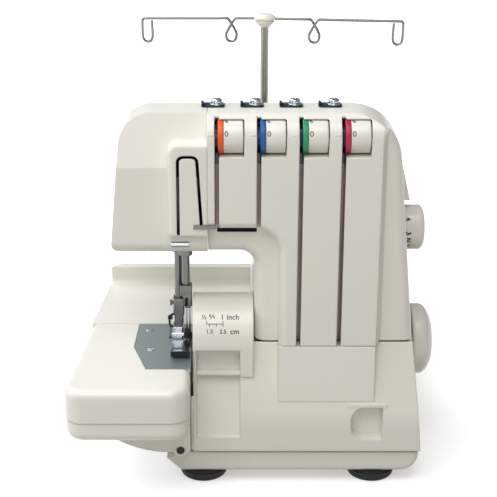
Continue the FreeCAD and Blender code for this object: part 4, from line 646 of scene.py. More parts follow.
def ribbon(path: np.ndarray, left: float, right: float) -> Patch:
    """Lay a flat band along a path of Y and Z, two points at each place of the path.

    Args:
        path: rows of Y and Z.
        left: X of one side.
        right: X of the other side.

    Returns:
        Points and faces.
    """
    path = np.asarray(path, float)
    across = np.broadcast_to((left, right), (len(path), 2))
    points = np.stack([across, *(np.repeat(path[:, i:i + 1], 2, 1) for i in range(2))], -1).reshape(-1, 3)
    row = np.arange(len(path) - 1) * 2
    return points, np.stack([row, row + 1, row + 3, row + 2], -1)


def bar_mark(width: float, height: float) -> Patch:
    """Return a flat printed bar, centred, in eight strips so that it can follow a curve."""
    up = np.linspace(-height / 2, height / 2, 9)
    return ribbon(np.stack([up, np.zeros_like(up)], -1), -width / 2, width / 2)


def wrap(patch: Patch, x: float, centre: Pair, radius: float, angle_deg: float,
         sideways: bool = False) -> Patch:
    """Lay a flat mark round a cylinder along X, its height measured as arc above the front.

    Args:
        patch: flat points and faces.
        x: place of the mark's middle along the axis.
        centre: Y and Z of the axis.
        radius: radius on which the mark lies.
        angle_deg: how far above the front its middle stands.
        sideways: True to turn the mark a quarter turn.

    Returns:
        Points and faces on the cylinder.
    """
    points, faces = patch
    across, up = (points[:, 1], -points[:, 0]) if sideways else (points[:, 0], points[:, 1])
    turn = math.radians(angle_deg) + up / radius
    placed = np.stack([x + across, centre[0] - radius * np.cos(turn), centre[1] + radius * np.sin(turn)], -1)
    return placed, faces


def make_piece(name: str, body: str, finish: Finish, patches: Sequence[Patch],
               replaces: tuple[str, ...] = (), sheet: bool = False) -> None:
    """Join surfaces into one piece, dress it and let it ride.

    Args:
        name: piece name.
        body: body that it rides on.
        finish: its finish.
        patches: its surfaces in millimetres.
        replaces: nodes that it stands for.
        sheet: True for flat marks, which keep the way their faces point.
    """
    starts = np.cumsum([0, *(len(points) for points, _ in patches)])
    rows = [row for (_, faces), start in zip(patches, starts) for row in (faces + start).tolist()]
    mesh = bpy.data.meshes.new(name)
    mesh.from_pydata((np.vstack([points for points, _ in patches]) * MM).tolist(), [], rows)
    work = bmesh.new()
    work.from_mesh(mesh)
    bmesh.ops.remove_doubles(work, verts=work.verts, dist=WELD_M)
    bmesh.ops.dissolve_degenerate(work, dist=WELD_M, edges=work.edges)
    if not sheet:
        bmesh.ops.recalc_face_normals(work, faces=work.faces)
    work.to_mesh(mesh)
    work.free()
    mesh.shade_smooth()
    mesh.set_sharp_from_angle(angle=math.radians(HARD_EDGE_DEG))
    piece = link(name, mesh)
    dress(piece, finish)
    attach(piece, body)
    if replaces:
        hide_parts(*replaces)
    LOG.info("made %s", name)


@dataclass
class TensionDial:
    """One numbered thread tension dial and its coloured ring, turning about X.

    Attributes:
        slot: slot of the ring, whose colour word is in the node names.
        rim_mm: rounding of the rims.
        bore: radius of the bore, as a share of the dial's.
        digits: numbers round the dial.
        first_deg: how far above the front the zero stands.
        digit_mm: height of a number.
        digit_x_mm: place of the numbers from the dial's left end.
    """

    slot: Slot
    rim_mm: float = 0.9
    bore: float = 0.3
    digits: int = 7
    first_deg: float = 22.0
    digit_mm: float = 3.9
    digit_x_mm: float = 2.1

    def build(self) -> None:
        """Turn the dial and its ring, and print the numbers."""
        colour = self.slot.colour
        body, dial = f"dial_{colour}", f"tension_dial_{colour}"
        for node, slot, finish in ((dial, Slot.CREAM, CREAM),
                                   (f"dial_ring_{colour}", self.slot, RINGS[self.slot])):
            left, right, centre, radius = round_box(node)
            bore = radius * self.bore
            profile = [(left, bore), (left, radius), (right, radius), (right, bore)]
            make_piece(f"{node}_turned", body, finish,
                       [lathe(profile, self.rim_mm, "X", centre, bored=True)], (node,))
        left, _, centre, radius = round_box(dial)
        step = 360.0 / self.digits
        make_piece(f"dial_numbers_{colour}", body, GREY_INK, [
            wrap(words(str(i), self.digit_mm), left + self.digit_x_mm, centre, radius + PRINT_MM,
                 self.first_deg - step * i) for i in range(self.digits)], sheet=True)


@dataclass
class SideControls:
    """Handwheel and stitch length dial on the right side, both turning about X.

    Attributes:
        wheel_rim_mm: rounding of the wheel's rim.
        barrel_mm: width of the wheel's straight rim.
        hub_mm: outer and inner radius of the hub's edge.
        dish_mm: depth of the hub, and slope of the wheel's inner edge.
        dial_rim_mm: rounding of the dial's rim.
        spindle_mm: radius of the dial's spindle.
        disc_mm: length of the spindle, up to the dial's disc.
        marks: marks round the stitch dial with their angle above the front.
        mark_mm: height of a mark.
        mark_weight: how far a mark's strokes swell.
        mark_x_mm: place of the marks from the spindle's end.
    """

    wheel_rim_mm: float = 3.2
    barrel_mm: float = 9.0
    hub_mm: Pair = (11.0, 10.0)
    dish_mm: float = 1.2
    dial_rim_mm: float = 2.6
    spindle_mm: float = 2.9
    disc_mm: float = 7.0
    marks: tuple[tuple[str, float], ...] = (("4", 40.0), ("3", 3.5), ("N", -15.5), ("2", -34.5))
    mark_mm: float = 3.7
    mark_weight: float = 0.065
    mark_x_mm: float = 9.8

    def wheel(self) -> None:
        """Make the handwheel: a barrel rim, a domed outer face and a shallow hub."""
        left, right, centre, radius = round_box("handwheel")
        dish, (outer, inner) = self.dish_mm, self.hub_mm
        profile = [(left, 0.0), (left, radius - dish), (left + dish, radius), (left + self.barrel_mm, radius),
                   (right - 3.5, radius - 3.5), (right, radius - 10.0), (right, outer), (right - dish, inner),
                   (right - dish, 0.0)]
        make_piece("handwheel_turned", "shaft_unit", CREAM,
                   [lathe(profile, self.wheel_rim_mm, "X", centre, 120)], ("handwheel",))

    def dial(self) -> None:
        """Make the stitch length dial and the marks near the body side."""
        left, right, centre, radius = round_box("stitch_length_dial")
        spindle, disc = self.spindle_mm, left + self.disc_mm
        profile = [(left, 0.0), (left, spindle), (disc, spindle), (disc, radius), (right - 3.0, radius),
                   (right - 0.6, radius - 3.0), (right, radius - 7.0), (right, 0.0)]
        make_piece("stitch_dial_turned", "stitch_dial", CREAM,
                   [lathe(profile, self.dial_rim_mm, "X", centre, 96)], ("stitch_length_dial",))
        make_piece("stitch_dial_marks", "stitch_dial", INK, [
            wrap(words(text, self.mark_mm, self.mark_weight), left + self.mark_x_mm, centre,
                 radius + PRINT_MM, angle, sideways=True) for text, angle in self.marks], sheet=True)

    def build(self) -> None:
        """Make both controls."""
        self.wheel()
        self.dial()


@dataclass
class Antenna:
    """Thread guide wire with four loops and the cap of the pole.

    Attributes:
        loops_mm: X of the four loops.
        runs_mm: X of the ends of the straight runs between them.
        end_mm: points of an end loop from its free tip to the wire, X measured inwards.
        inner_mm: points of the first half of an inner loop, where the wire crosses behind itself,
            Y in radii of the wire; the second half is the first one turned half round.
        inner_foot_mm: lowest point of an inner loop.
        wire_mm: radius of the wire.
        drop_mm: how far the wire's middle lies below the top of its box.
        tilt: fall of the wire to the right, per millimetre.
        cap_outline: height and radius along the cap's outline, as shares of its height and half width.
        cap_round_mm: rounding of the cap's edges.
    """

    loops_mm: tuple[float, ...] = (-86.0, -18.5, 49.0, 116.5)
    runs_mm: tuple[Pair, ...] = ((-70.0, -45.0), (2.0, 20.0), (72.0, 98.0))
    end_mm: tuple[Point, ...] = (
        (2.9, 0.0, -1.8), (3.4, 0.0, -14.0), (2.2, 0.0, -18.0), (-0.6, 0.0, -19.2), (-3.6, 0.0, -17.6),
        (-4.6, 0.0, -13.5), (-4.7, 0.0, -3.0), (-4.0, 0.0, -0.6), (-1.5, 0.0, 0.0))
    inner_mm: tuple[Point, ...] = (
        (-12.0, 0.0, 0.0), (-4.2, 0.2, 0.0), (-2.2, 0.7, -1.2), (0.0, 1.0, -4.6), (2.6, 1.0, -9.0),
        (4.3, 0.6, -13.4), (3.2, 0.2, -17.6))
    inner_foot_mm: Point = (0.0, 0.0, -19.0)
    wire_mm: float = 1.12
    drop_mm: float = 1.4
    tilt: float = 0.022
    cap_outline: tuple[Pair, ...] = (
        (0.0, 0.0), (0.0, 0.5), (0.44, 0.95), (0.46, 0.8), (0.54, 0.8), (0.56, 1.0), (0.74, 1.0), (1.0, 0.6),
        (1.0, 0.0))
    cap_round_mm: float = 0.7

    def cap(self) -> None:
        """Make the cap: a cone below and a dome above with the wire's groove between, flat front to back."""
        low, high = box_mm("antenna_cap")
        middle, half = (low + high) / 2, (high - low) / 2
        outline = np.array(self.cap_outline) * (2 * half[2], half[0]) + (low[2], 0.0)
        points, faces = lathe(outline, self.cap_round_mm, "Z", (0.0, 0.0), 64)
        points = points * (1.0, half[1] / half[0], 1.0) + (middle[0], middle[1], 0.0)
        make_piece("antenna_cap_moulded", "antenna", CREAM, [(points, faces)], ("antenna_cap",))

    def end_loop(self, x: float, side: int) -> np.ndarray:
        """Return the points of the end loop at an X, for the left (-1) or the right (1) end."""
        return np.array(self.end_mm) * (-side, 1, 1) + (x, 0.0, 0.0)

    def inner_loop(self, x: float) -> np.ndarray:
        """Return the points of the inner loop at an X, a teardrop."""
        half = np.array(self.inner_mm)
        return np.vstack([half, self.inner_foot_mm, half[::-1] * (-1, -1, 1)]) + (x, 0.0, 0.0)

    def bar(self) -> None:
        """Bend the wire: both end loops, two crossed loops and straight runs through the cap."""
        low, high = box_mm("thread_guide_bar")
        y, top = (low[1] + high[1]) / 2, high[2] - self.drop_mm
        first, second, third, last = self.loops_mm
        left, middle, right = ([(x, 0.0, 0.0) for x in run] for run in self.runs_mm)
        flat = np.vstack([self.end_loop(first, -1), left, self.inner_loop(second), middle,
                          self.inner_loop(third), right, self.end_loop(last, 1)[::-1]])
        height = top + flat[:, 2] - self.tilt * np.maximum(flat[:, 0], 0.0)
        path = smooth(np.stack([flat[:, 0], y + flat[:, 1] * self.wire_mm, height], -1))
        make_piece("thread_guide_wire", "antenna", WIRE, [tube(path, self.wire_mm)],
                   ("thread_guide_bar",))

    def build(self) -> None:
        """Make the cap and the wire."""
        self.cap()
        self.bar()


@dataclass
class TopGuides:
    """Four thread guides on the top: a dark plate with a post and a bright domed cap each.

    Attributes:
        count: number of guides.
        first_mm: X of the first guide.
        pitch_mm: distance between guides.
        y_mm: Y of the guides.
        plate_mm: length, width and thickness of a plate.
        plate_round_mm: rounding of a plate's corners and edges.
        cap_mm: shift, radius and height of a cap.
        post_mm: shift, radius and height of a post.
        hook_mm: radius of the hook on a post.
    """

    count: int = 4
    first_mm: float = -31.9
    pitch_mm: float = 28.3
    y_mm: float = -52.0
    plate_mm: Point = (17.0, 11.0, 1.2)
    plate_round_mm: Pair = (2.4, 0.3)
    cap_mm: Point = (2.6, 5.2, 4.5)
    post_mm: Point = (-7.5, 1.0, 2.5)
    hook_mm: float = 0.55

    def plate(self, x: float, base: float) -> list[Patch]:
        """Make one plate with its post and the hook on it.

        Args:
            x: X of the guide.
            base: Z of the plate's underside.

        Returns:
            The surfaces.
        """
        length, width, thickness = self.plate_mm
        shift, radius, height = self.post_mm
        y, deck, post = self.y_mm, base + thickness, x + shift
        top = deck + height
        hook = [(post, y, top - 0.6), (post - 0.8, y - 1.5, top + 0.2), (post + 0.6, y - 3.4, top - 0.6),
                (post + 2.4, y - 4.0, deck)]
        return [block((x - length / 2, y - width / 2, base), (x + length / 2, y + width / 2, deck),
                      *self.plate_round_mm),
                lathe([(base, 0.0), (base, radius), (top, radius), (top, 0.0)], 0.5, "Z", (post, y), 24),
                tube(smooth(hook, 6), self.hook_mm, 10)]

    def cap(self, x: float, seat: float) -> Patch:
        """Turn one cap: a flange, a neck and a dome with a dimple.

        Args:
            x: X of the guide.
            seat: Z of the cap's underside.

        Returns:
            Points and faces.
        """
        shift, radius, height = self.cap_mm
        top = seat + height
        profile = [(seat, 0.0), (seat, radius), (seat + 0.9, radius), (seat + 1.2, radius * 0.72),
                   (seat + 1.8, radius * 0.8), (top - 1.0, radius * 0.78), (top, radius * 0.4), (top, 0.9),
                   (top - 0.5, 0.7), (top - 0.5, 0.0)]
        return lathe(profile, 0.8, "Z", (x + shift, self.y_mm), 48)

    def build(self) -> None:
        """Make the plates with their posts and the turned caps."""
        base, seat = (box_mm(node)[0][2] for node in ("top_guide_plates", "top_guide_caps"))
        places = self.first_mm + self.pitch_mm * np.arange(self.count)
        make_piece("guide_plates_pressed", "frame", BLUED,
                   [patch for x in places for patch in self.plate(x, base)], ("top_guide_plates",))
        make_piece("guide_caps_turned", "frame", CHROME, [self.cap(x, seat) for x in places],
                   ("top_guide_caps",))


@dataclass
class RubberFeet:
    """Four turned rubber feet under the base.

    Attributes:
        x_mm: X of the feet.
        y_mm: Y of the feet.
        foot_mm: radius at the floor and at the base.
        groove_mm: depth of the groove under the base.
        round_mm: rounding of the rims.
    """

    x_mm: Pair = (-40.0, 90.0)
    y_mm: Pair = (-73.0, 45.0)
    foot_mm: Pair = (17.3, 19.4)
    groove_mm: float = 1.2
    round_mm: float = 1.6

    def build(self) -> None:
        """Turn the four feet, each with a soft rim at the floor and a groove under the base."""
        low, high = box_mm("rubber_feet")
        floor, top = low[2], high[2]
        small, large = self.foot_mm
        neck = large - self.groove_mm
        profile = [(floor, 0.0), (floor, small), (top - 3.0, large), (top - 2.4, neck), (top, neck),
                   (top, 0.0)]
        make_piece("rubber_feet_moulded", "frame", RUBBER, [
            lathe(profile, self.round_mm, "Z", (x, y), 64) for x in self.x_mm for y in self.y_mm],
            ("rubber_feet",))


@dataclass
class SewingHead:
    """Bar bushes, guard strip, needle clamp and its screws, presser foot and its holder, plate screws.

    Attributes:
        bars_mm: X and Y of the needle bar and the presser bar.
        bore_mm: radius of the bushes' bores.
        flange_mm: radius and thickness of the bushes' flanges.
        neck_mm: how much narrower a bush is above its flange.
        guard_mm: left and right X, then front and rear Y, of the guard strip.
        guard_edges_mm: low and high Z of the strip's two edges.
        guard_middle_mm: low and high Z of the strip's middle.
        collar_mm: height of the needle clamp's collar.
        jaw_mm: how far the needle clamp's body stands in from the collar's left side.
        nose_mm: half width of the needle clamp's nose.
        ankle_mm: height of the foot holder's lower part.
        holder_screw_mm: radius of head and shank of the foot holder's side screw.
        wire_mm: radius of the bent wires.
        plate_screws_mm: X and Y of the needle plate screws.
        plate_screw_mm: radius of head and shank of a needle plate screw.
        notch_mm: left X, front Y and rear Y of the foot's needle notch.
        toe_mm: how far the plated toe reaches past the sole.
    """

    bars_mm: tuple[Pair, ...] = ((-53.0, -57.0), (-58.8, -49.0))
    bore_mm: float = 3.08
    flange_mm: Pair = (5.2, 5.0)
    neck_mm: float = 0.5
    guard_mm: tuple[Pair, Pair] = ((-62.6, -49.4), (-82.5, -80.0))
    guard_edges_mm: tuple[Pair, ...] = ((191.8, 192.6), (195.0, 195.8))
    guard_middle_mm: tuple[Pair, ...] = ((192.7, 194.9),)
    collar_mm: float = 9.0
    jaw_mm: float = 2.6
    nose_mm: float = 2.2
    ankle_mm: float = 13.0
    holder_screw_mm: Pair = (2.4, 1.2)
    wire_mm: float = 0.8
    plate_screws_mm: tuple[Pair, ...] = ((-82.4, -39.0), (-79.2, -74.0))
    plate_screw_mm: Pair = (3.0, 1.6)
    notch_mm: Point = (-55.0, -59.4, -54.6)
    toe_mm: float = 4.0

    def bushes(self) -> None:
        """Turn the flanged bushes of both bars."""
        low, high = box_mm("bar_bushes")
        radius, thickness = self.flange_mm
        neck, step = radius - self.neck_mm, low[2] + thickness
        profile = [(low[2], self.bore_mm), (low[2], radius), (step, radius), (step, neck), (high[2], neck),
                   (high[2], self.bore_mm)]
        make_piece("bar_bushes_turned", "frame", DULL_STEEL, [
            lathe(profile, 0.4, "Z", centre, 48, bored=True) for centre in self.bars_mm], ("bar_bushes",))

    def guard(self) -> None:
        """Lay the guard strip on the face above the bars: two dull edges and a bright middle."""
        (left, right), (front, rear) = self.guard_mm
        for part, rows, finish in (("edges", self.guard_edges_mm, DULL_STEEL),
                                   ("middle", self.guard_middle_mm, CHROME)):
            make_piece(f"face_guard_{part}", "frame", finish, [
                block((left, front, base), (right, rear, top), 0.3, 0.25) for base, top in rows])

    def clamp(self) -> None:
        """Make the needle clamp: a wide collar above, a narrower body at the right and a nose below."""
        low, high = box_mm("needle_clamp")
        waist, left = high[2] - self.collar_mm, low[0] + self.jaw_mm
        middle, nose = (left + high[0]) / 2, self.nose_mm
        make_piece("needle_clamp_milled", "needle_unit", DULL_STEEL, [
            block((low[0], low[1] + 0.4, waist), high, 1.2, 0.5),
            block((left, low[1], low[2] + 2.0), (high[0], high[1], waist + 1.5), 0.8, 0.5),
            block((middle - nose, low[1] + 1.4, low[2]), (middle + nose, high[1] - 1.4, low[2] + 3.0),
                  0.8, 0.4),
        ], ("needle_clamp",))

    def screws(self) -> None:
        """Turn the clamp screws, each with a socket in its head."""
        low, high = box_mm("clamp_screws")
        radius, middle = (high[0] - low[0]) / 2, (low[0] + high[0]) / 2
        front, back = low[1], high[1]
        profile = [(back, 0.0), (back, radius * 0.6), (back - 1.2, radius * 0.6), (back - 1.2, radius),
                   (front + 1.0, radius), (front + 1.0, radius * 0.5), (front + 2.0, radius * 0.45),
                   (front + 2.0, 0.0)]
        make_piece("clamp_screws_turned", "needle_unit", BLACK_STEEL, [
            lathe(profile, 0.25, "Y", (z, middle), 32) for z in (low[2] + radius, high[2] - radius)],
            ("clamp_screws",))

    def holder(self) -> None:
        """Make the foot holder: clamp body, ankle below, side screw, and a release lever with its knob."""
        low, high = box_mm("foot_holder")
        left, front, base = low
        face, (head, shank) = left - 2.6, self.holder_screw_mm
        screw = [(face, 0.0), (face, head), (face + 1.6, head), (face + 1.6, shank), (left + 0.6, shank),
                 (left + 0.6, 0.0)]
        make_piece("foot_holder_milled", "presser_unit", DULL_STEEL, [
            block((left, front, base + self.ankle_mm - 1.0), high, 1.2, 0.6),
            block((left + 0.8, front + 0.4, base), (high[0] - 0.8, high[1] - 0.4, base + self.ankle_mm),
                  1.0, 0.5),
            lathe(screw, 0.4, "X", ((front + high[1]) / 2, high[2] - 5.0), 36),
        ], ("foot_holder",))
        lever = [(left + 0.8, front + 1.0, base + 13.0), (left - 2.2, front - 0.2, base + 12.0),
                 (left - 3.0, front - 0.8, base + 8.0), (left - 2.4, front - 1.2, base + 4.0),
                 (left + 0.4, front - 0.6, base + 2.6)]
        knob = [(left - 4.2, 0.0), (left - 4.2, 1.7), (left - 0.6, 1.7), (left - 0.6, 0.0)]
        make_piece("holder_spring_lever", "presser_unit", BLACK_STEEL, [
            tube(smooth(lever), self.wire_mm, 12), lathe(knob, 0.5, "X", (front - 0.4, base + 10.6), 28)])

    def sole(self, near: float, far: float, floor: float, toe: bool) -> np.ndarray:
        """Draw the side outline of one strip of the foot's sole.

        Args:
            near: front Y.
            far: rear Y.
            floor: Z of the underside.
            toe: True where the front is a raised toe.

        Returns:
            Points of Y and Z.
        """
        nose = [(near, floor + 1.2), (near + 3.0, floor)] if toe else [(near, floor)]
        brow = [(near + 5.0, floor + 4.2), (near, floor + 5.0)] if toe else [(near, floor + 3.0)]
        return rounded([*nose, (far, floor), (far, floor + 2.6), *brow], 0.6)

    def foot(self) -> None:
        """Make the presser foot: a sole round the needle notch, an ankle with its pin, dark toe and clip."""
        low, high = box_mm("presser_foot")
        floor, front, back = low[2], low[1] - self.toe_mm, high[1]
        (left, right), edge = (low[0], high[0]), 0.5
        notch, notch_front, notch_rear = self.notch_mm
        beside = [(left, edge), (left + edge, 0.0), (notch, 0.0)]
        behind = [(notch, 0.0), (right - edge, 0.0), (right, edge)]
        pin = [(left - 0.2, 0.0), (left - 0.2, 1.5), (notch + 0.4, 1.5), (notch + 0.4, 0.0)]
        make_piece("presser_foot_plated", "presser_unit", CHROME, [
            loft(self.sole(front, back, floor, True), "X", beside),
            loft(self.sole(front, notch_front, floor, True), "X", behind),
            loft(self.sole(notch_rear, back, floor, False), "X", behind),
            block((left + 0.5, -61.0, floor + 2.5), (notch - 0.2, -50.0, floor + 11.5), 1.4, 0.7),
            lathe(pin, 0.4, "X", (-61.2, floor + 6.0), 28),
        ], ("presser_foot",))
        wire = [(right - 0.6, -64.0, floor + 9.0), (right + 0.6, -68.0, floor + 8.0),
                (right - 0.4, -72.0, floor + 6.5), (right - 2.0, -74.0, floor + 4.6)]
        make_piece("presser_foot_toe", "presser_unit", BLACK_STEEL, [
            block((left + 0.1, front - 0.35, floor + 1.0), (right - 0.1, front + 0.6, floor + 5.1),
                  0.3, 0.25),
            block((notch + 0.6, -66.0, floor + 3.9), (right - 0.2, -60.8, floor + 11.0), 1.2, 0.6),
            tube(smooth(wire), self.wire_mm, 12)])

    def plate_screws(self) -> None:
        """Turn the needle plate's screws, each head two half discs with the slot between."""
        low, high = box_mm("needle_plate_screws")
        base, top = low[2], high[2]
        radius, shank = self.plate_screw_mm
        rim = [(base, 0.0), (base, shank), (top - 1.5, shank), (top - 1.5, radius), (top - 0.5, radius),
               (top - 0.5, 0.0)]
        patches = []
        for x, y in self.plate_screws_mm:
            patches.append(lathe(rim, 0.25, "Z", (x, y), 40))
            for side in (0.0, np.pi):
                arc = side + np.linspace(0.14, np.pi - 0.14, 24)
                half = np.stack([x + radius * 0.96 * np.cos(arc), y + radius * 0.96 * np.sin(arc)], -1)
                patches.append(loft(half, "Z", [(top - 0.7, 0.0), (top - 0.2, 0.0), (top, 0.3)]))
        make_piece("plate_screws_slotted", "frame", CHROME, patches, ("needle_plate_screws",))

    def build(self) -> None:
        """Make all pieces round the needle."""
        for step in (self.bushes, self.guard, self.clamp, self.screws, self.holder, self.foot,
                     self.plate_screws):
            step()


@dataclass
class Scales:
    """Printed ruler on the bulge of the looper cover and the raised index marks beside the dials.

    Attributes:
        centre_mm: Y and Z of the bulge's axis.
        radius_mm: radius on which the print lies.
        words_mm: text, X, angle above the front and height of each word.
        ticks_mm: X of the ticks, with 1 above the line and -1 below it.
        tick_mm: length of a tick.
        tick_over_mm: how far the ticks lie above the line that they cross.
        line_mm: thickness of the line and of the ticks.
        line_deg: angle of the ruler line.
        index_mm: left end, right end and middle height of an index mark, from its slot.
        index_y_mm: front and rear Y of the index marks.
        index_half_mm: half the height of an index mark.
    """

    centre_mm: Pair = (-57.0, 113.0)
    radius_mm: float = 30.08
    words_mm: tuple[tuple[str, float, float, float], ...] = (
        ("½", -38.8, 44.0, 3.7), ("⅝", -33.0, 44.0, 3.7), ("1", -25.3, 44.0, 4.1),
        ("inch", -17.4, 44.0, 4.1), ("1.5", -34.8, 23.0, 3.0), ("2.5", -24.8, 23.0, 3.0),
        ("cm", -16.1, 23.0, 4.0))
    ticks_mm: tuple[tuple[float, int], ...] = ((-37.1, 1), (-35.0, -1), (-29.8, -1), (-24.8, 1), (-24.8, -1))
    tick_mm: float = 2.2
    tick_over_mm: float = 0.01
    line_mm: float = 0.5
    line_deg: float = 34.0
    index_mm: Point = (-6.8, -2.5, 277.8)
    index_y_mm: Pair = (-87.3, -85.0)
    index_half_mm: float = 0.7

    def ruler(self) -> None:
        """Print the ruler: two rows of words with a ticked line between."""
        centre, radius = self.centre_mm, self.radius_mm
        low, high = self.ticks_mm[0][0], self.ticks_mm[-1][0]
        lift = math.degrees(self.tick_mm / 2 / radius)
        make_piece("ruler_print", "lower_cover", INK, [
            *(wrap(words(text, height), x, centre, radius, angle)
              for text, x, angle, height in self.words_mm),
            wrap(bar_mark(high - low, self.line_mm), (low + high) / 2, centre, radius, self.line_deg),
            *(wrap(bar_mark(self.line_mm, self.tick_mm), x, centre, radius + self.tick_over_mm,
                   self.line_deg + side * lift) for x, side in self.ticks_mm)], sheet=True)

    def index(self) -> None:
        """Raise one small bar on the panel to the left of each dial."""
        (start, end, z), (front, rear), half = self.index_mm, self.index_y_mm, self.index_half_mm
        make_piece("dial_index_marks", "frame", CREAM, [
            block((x + start, front, z - half), (x + end, rear, z + half), 0.5, 0.4)
            for x in THREAD_SLOTS.places()])

    def build(self) -> None:
        """Make the ruler and the index marks."""
        self.ruler()
        self.index()


@dataclass
class Seams:
    """Lip on the looper cover's left edge beside the cloth plate, and the backing of the seam at the face.

    Attributes:
        reach_mm: how far the lip stands out to the left.
        root_mm: how far the lip and the backing reach into their neighbours.
        depth_mm: front and rear Y of the lip.
        height_mm: low and high Z of the lip.
        inset_mm: how deep the backing lies below the surface.
        crown_mm: Y and Z of the axis of the panel's rounded top edge, and its radius.
        ends_mm: low Z and rear Y of the backing.
    """

    reach_mm: float = 1.7
    root_mm: Pair = (0.4, 0.05)
    depth_mm: Pair = (-93.3, -91.7)
    height_mm: Pair = (29.4, 75.0)
    inset_mm: float = 0.5
    crown_mm: Point = (-70.0, 272.0, 18.0)
    ends_mm: Pair = (186.0, -45.0)

    def lip(self) -> None:
        """Make the lip with rounded edges."""
        edge = box_mm("looper_cover")[0][0]
        (front, rear), (low, high) = self.depth_mm, self.height_mm
        make_piece("cover_edge_lip", "lower_cover", CREAM, [
            block((edge - self.reach_mm, front, low), (edge + self.root_mm[0], rear, high), 0.5, 0.4)])

    def backing(self) -> None:
        """Run a band along the seam between the face and the panel: up the front, round the edge and back."""
        y, z, radius = self.crown_mm
        radius -= self.inset_mm
        turn = np.linspace(np.pi, np.pi / 2, 24)
        path = np.vstack([(y - radius, self.ends_mm[0]),
                          np.stack([y + radius * np.cos(turn), z + radius * np.sin(turn)], -1),
                          (self.ends_mm[1], z + radius)])
        left, right, root = box_mm("face_cover")[1][0], box_mm("front_panel")[0][0], self.root_mm[1]
        make_piece("face_seam_backing", "frame", CREAM,
                   [ribbon(path, left - root, right + root)], sheet=True)

    def build(self) -> None:
        """Make the lip and the backing."""
        self.lip()
        self.backing()


@dataclass(frozen=True)
class Lamp:
    """A square soft lamp that looks at the machine.

    Attributes:
        name: lamp name.
        place_m: its place in metres.
        size_m: its side in metres.
        watts: its power.
        colour: sRGB hex colour of the light.
    """

    name: str
    place_m: Point
    size_m: float
    watts: float
    colour: str = WHITE


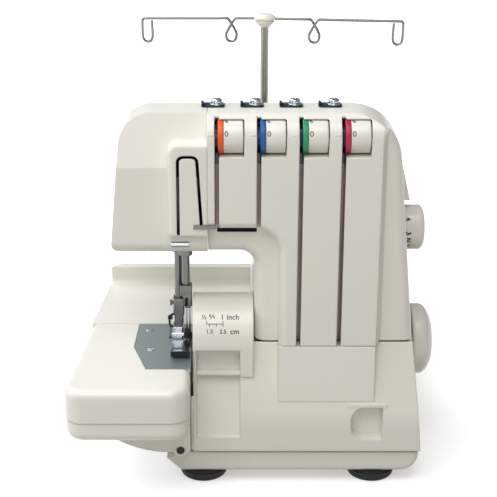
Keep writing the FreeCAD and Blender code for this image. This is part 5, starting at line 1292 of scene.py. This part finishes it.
@dataclass
class Studio:
    """Camera of the photograph's view, soft lamps, white surround and pale floor.

    Attributes:
        eye_mm: place of the camera.
        pitch_deg: how far it looks down.
        focal_px: focal length in pixels of the photograph.
        centre_px: where the lens axis meets the photograph.
        sensor_mm: width of the camera's sensor.
        far_m: how far the camera sees.
        lamps: a large lamp high in front, one behind and one beside at the left, a weak low one in front.
        aim_m: the point that the lamps look at.
        surround: linear colour of the surround as a light.
        surround_light: strength of the surround as a light.
        floor_mm: side of the floor.
        paper: colour of the floor as the camera and mirrors see it.
        bounce: colour of the floor for the light that it throws back.
        glow: the floor's own light near the machine and far from it.
        glow_m: distances between which that light rises.
    """

    eye_mm: Point = (-19.6, -1007.0, 555.0)
    pitch_deg: float = 20.5
    focal_px: float = 1361.0
    centre_px: Pair = (230.0, 224.5)
    sensor_mm: float = 36.0
    far_m: float = 50.0
    lamps: tuple[Lamp, ...] = (
        Lamp("main", (-0.25, -0.85, 1.7), 1.3, 17.5), Lamp("rear", (-0.9, 0.6, 1.4), 1.2, 15.0, "#EEF6FF"),
        Lamp("left", (-1.6, -0.2, 0.9), 1.0, 8.0, "#F4F9FF"), Lamp("front", (-0.2, -1.75, 0.8), 0.8, 3.0))
    aim_m: Point = (0.0, -0.02, 0.14)
    surround: tuple[float, float, float, float] = (1.0, 0.99, 0.97, 1.0)
    surround_light: float = 0.3
    floor_mm: float = 9000.0
    paper: str = "#F7F7F6"
    bounce: str = "#A4A29C"
    glow: Pair = (0.42, 1.0)
    glow_m: Pair = (0.3, 1.4)

    def camera(self) -> None:
        """Set the camera to the photograph's view: lens and shift from the photograph's focal length and
        centre in pixels.
        """
        data = bpy.data.cameras.new("camera")
        data.sensor_width = self.sensor_mm
        data.lens = self.focal_px / PHOTO_PIXELS * self.sensor_mm
        middle = PHOTO_PIXELS / 2
        data.shift_x = (middle - self.centre_px[0]) / PHOTO_PIXELS
        data.shift_y = (self.centre_px[1] - middle) / PHOTO_PIXELS
        data.clip_end = self.far_m
        camera = link("camera", data)
        camera.location = Vector(self.eye_mm) * MM
        camera.rotation_euler = (math.radians(90 - self.pitch_deg), 0.0, 0.0)
        bpy.context.scene.camera = camera

    def hang(self, lamp: Lamp) -> None:
        """Add one lamp to the scene.

        Args:
            lamp: the lamp to add.
        """
        data = bpy.data.lights.new(lamp.name, "AREA")
        data.size, data.energy, data.color = lamp.size_m, lamp.watts, linear(lamp.colour)[:3]
        item = link(lamp.name, data)
        item.location = lamp.place_m
        aim = Vector(self.aim_m) - Vector(lamp.place_m)
        item.rotation_euler = aim.to_track_quat("-Z", "Y").to_euler()

    def world(self) -> None:
        """White surround for what the camera sees, softer as a light and in mirrors."""
        world = bpy.data.worlds.new("surround")
        tree = empty_tree(world)
        soft, white = (add_node(tree, "ShaderNodeBackground", {"Color": colour, "Strength": strength})
                       for colour, strength in ((self.surround, self.surround_light), (linear(WHITE), 1.0)))
        path = add_node(tree, "ShaderNodeLightPath")
        mix = add_node(tree, "ShaderNodeMixShader", links={
            0: path.outputs["Is Camera Ray"], 1: soft.outputs[0], 2: white.outputs[0]})
        add_node(tree, "ShaderNodeOutputWorld", links={"Surface": mix.outputs[0]})
        bpy.context.scene.world = world

    def paper_white(self) -> bpy.types.Material:
        """Make the floor's paper: white with a glow for camera and mirrors, a darker bounce for the rest.

        Returns:
            The material.
        """
        material = bpy.data.materials.new("matt white paper")
        tree = empty_tree(material)
        paper, bounce = (add_node(tree, "ShaderNodeBsdfDiffuse", {"Color": linear(colour)})
                         for colour in (self.paper, self.bounce))
        place = add_node(tree, "ShaderNodeTexCoord").outputs["Object"]
        away = add_node(tree, VECTOR, {"operation": "LENGTH"}, {0: place})
        (near, far), (weak, strong) = self.glow_m, self.glow
        rise = add_node(tree, RANGE, {"From Min": near, "From Max": far, "To Min": weak, "To Max": strong},
                        {"Value": away.outputs["Value"]})
        glow = add_node(tree, "ShaderNodeEmission", {"Color": linear(WHITE)}, {"Strength": rise.outputs[0]})
        lit = add_node(tree, "ShaderNodeAddShader", links={0: paper.outputs[0], 1: glow.outputs[0]})
        path = add_node(tree, "ShaderNodeLightPath")
        seen = add_node(tree, "ShaderNodeMath", {"operation": "MAXIMUM"}, {
            0: path.outputs["Is Camera Ray"], 1: path.outputs["Is Glossy Ray"]})
        mix = add_node(tree, "ShaderNodeMixShader", links={
            0: seen.outputs[0], 1: bounce.outputs[0], 2: lit.outputs[0]})
        add_node(tree, "ShaderNodeOutputMaterial", links={"Surface": mix.outputs[0]})
        return material

    def floor(self) -> None:
        """Lay a pale floor, large enough to fill the view."""
        half = self.floor_mm / 2 * MM
        mesh = bpy.data.meshes.new("floor")
        mesh.from_pydata([(-half, -half, 0), (half, -half, 0), (half, half, 0), (-half, half, 0)], [],
                         [(0, 1, 2, 3)])
        floor = link("floor", mesh)
        mesh.materials.append(self.paper_white())

    def build(self) -> None:
        """Set up the whole studio."""
        self.camera()
        for lamp in self.lamps:
            self.hang(lamp)
        self.world()
        self.floor()
        bpy.context.scene.view_settings.view_transform = "Standard"


def main() -> None:
    """Dress the solids, add the pieces and set up the studio."""
    logging.basicConfig(level=logging.INFO)
    dress_solids()
    dials = [TensionDial(slot) for slot in RINGS]
    for part in (*dials, SideControls(), Antenna(), TopGuides(), RubberFeet(), SewingHead(), Scales(),
                 Seams(), Studio()):
        part.build()


if __name__ == "__main__":
    main()
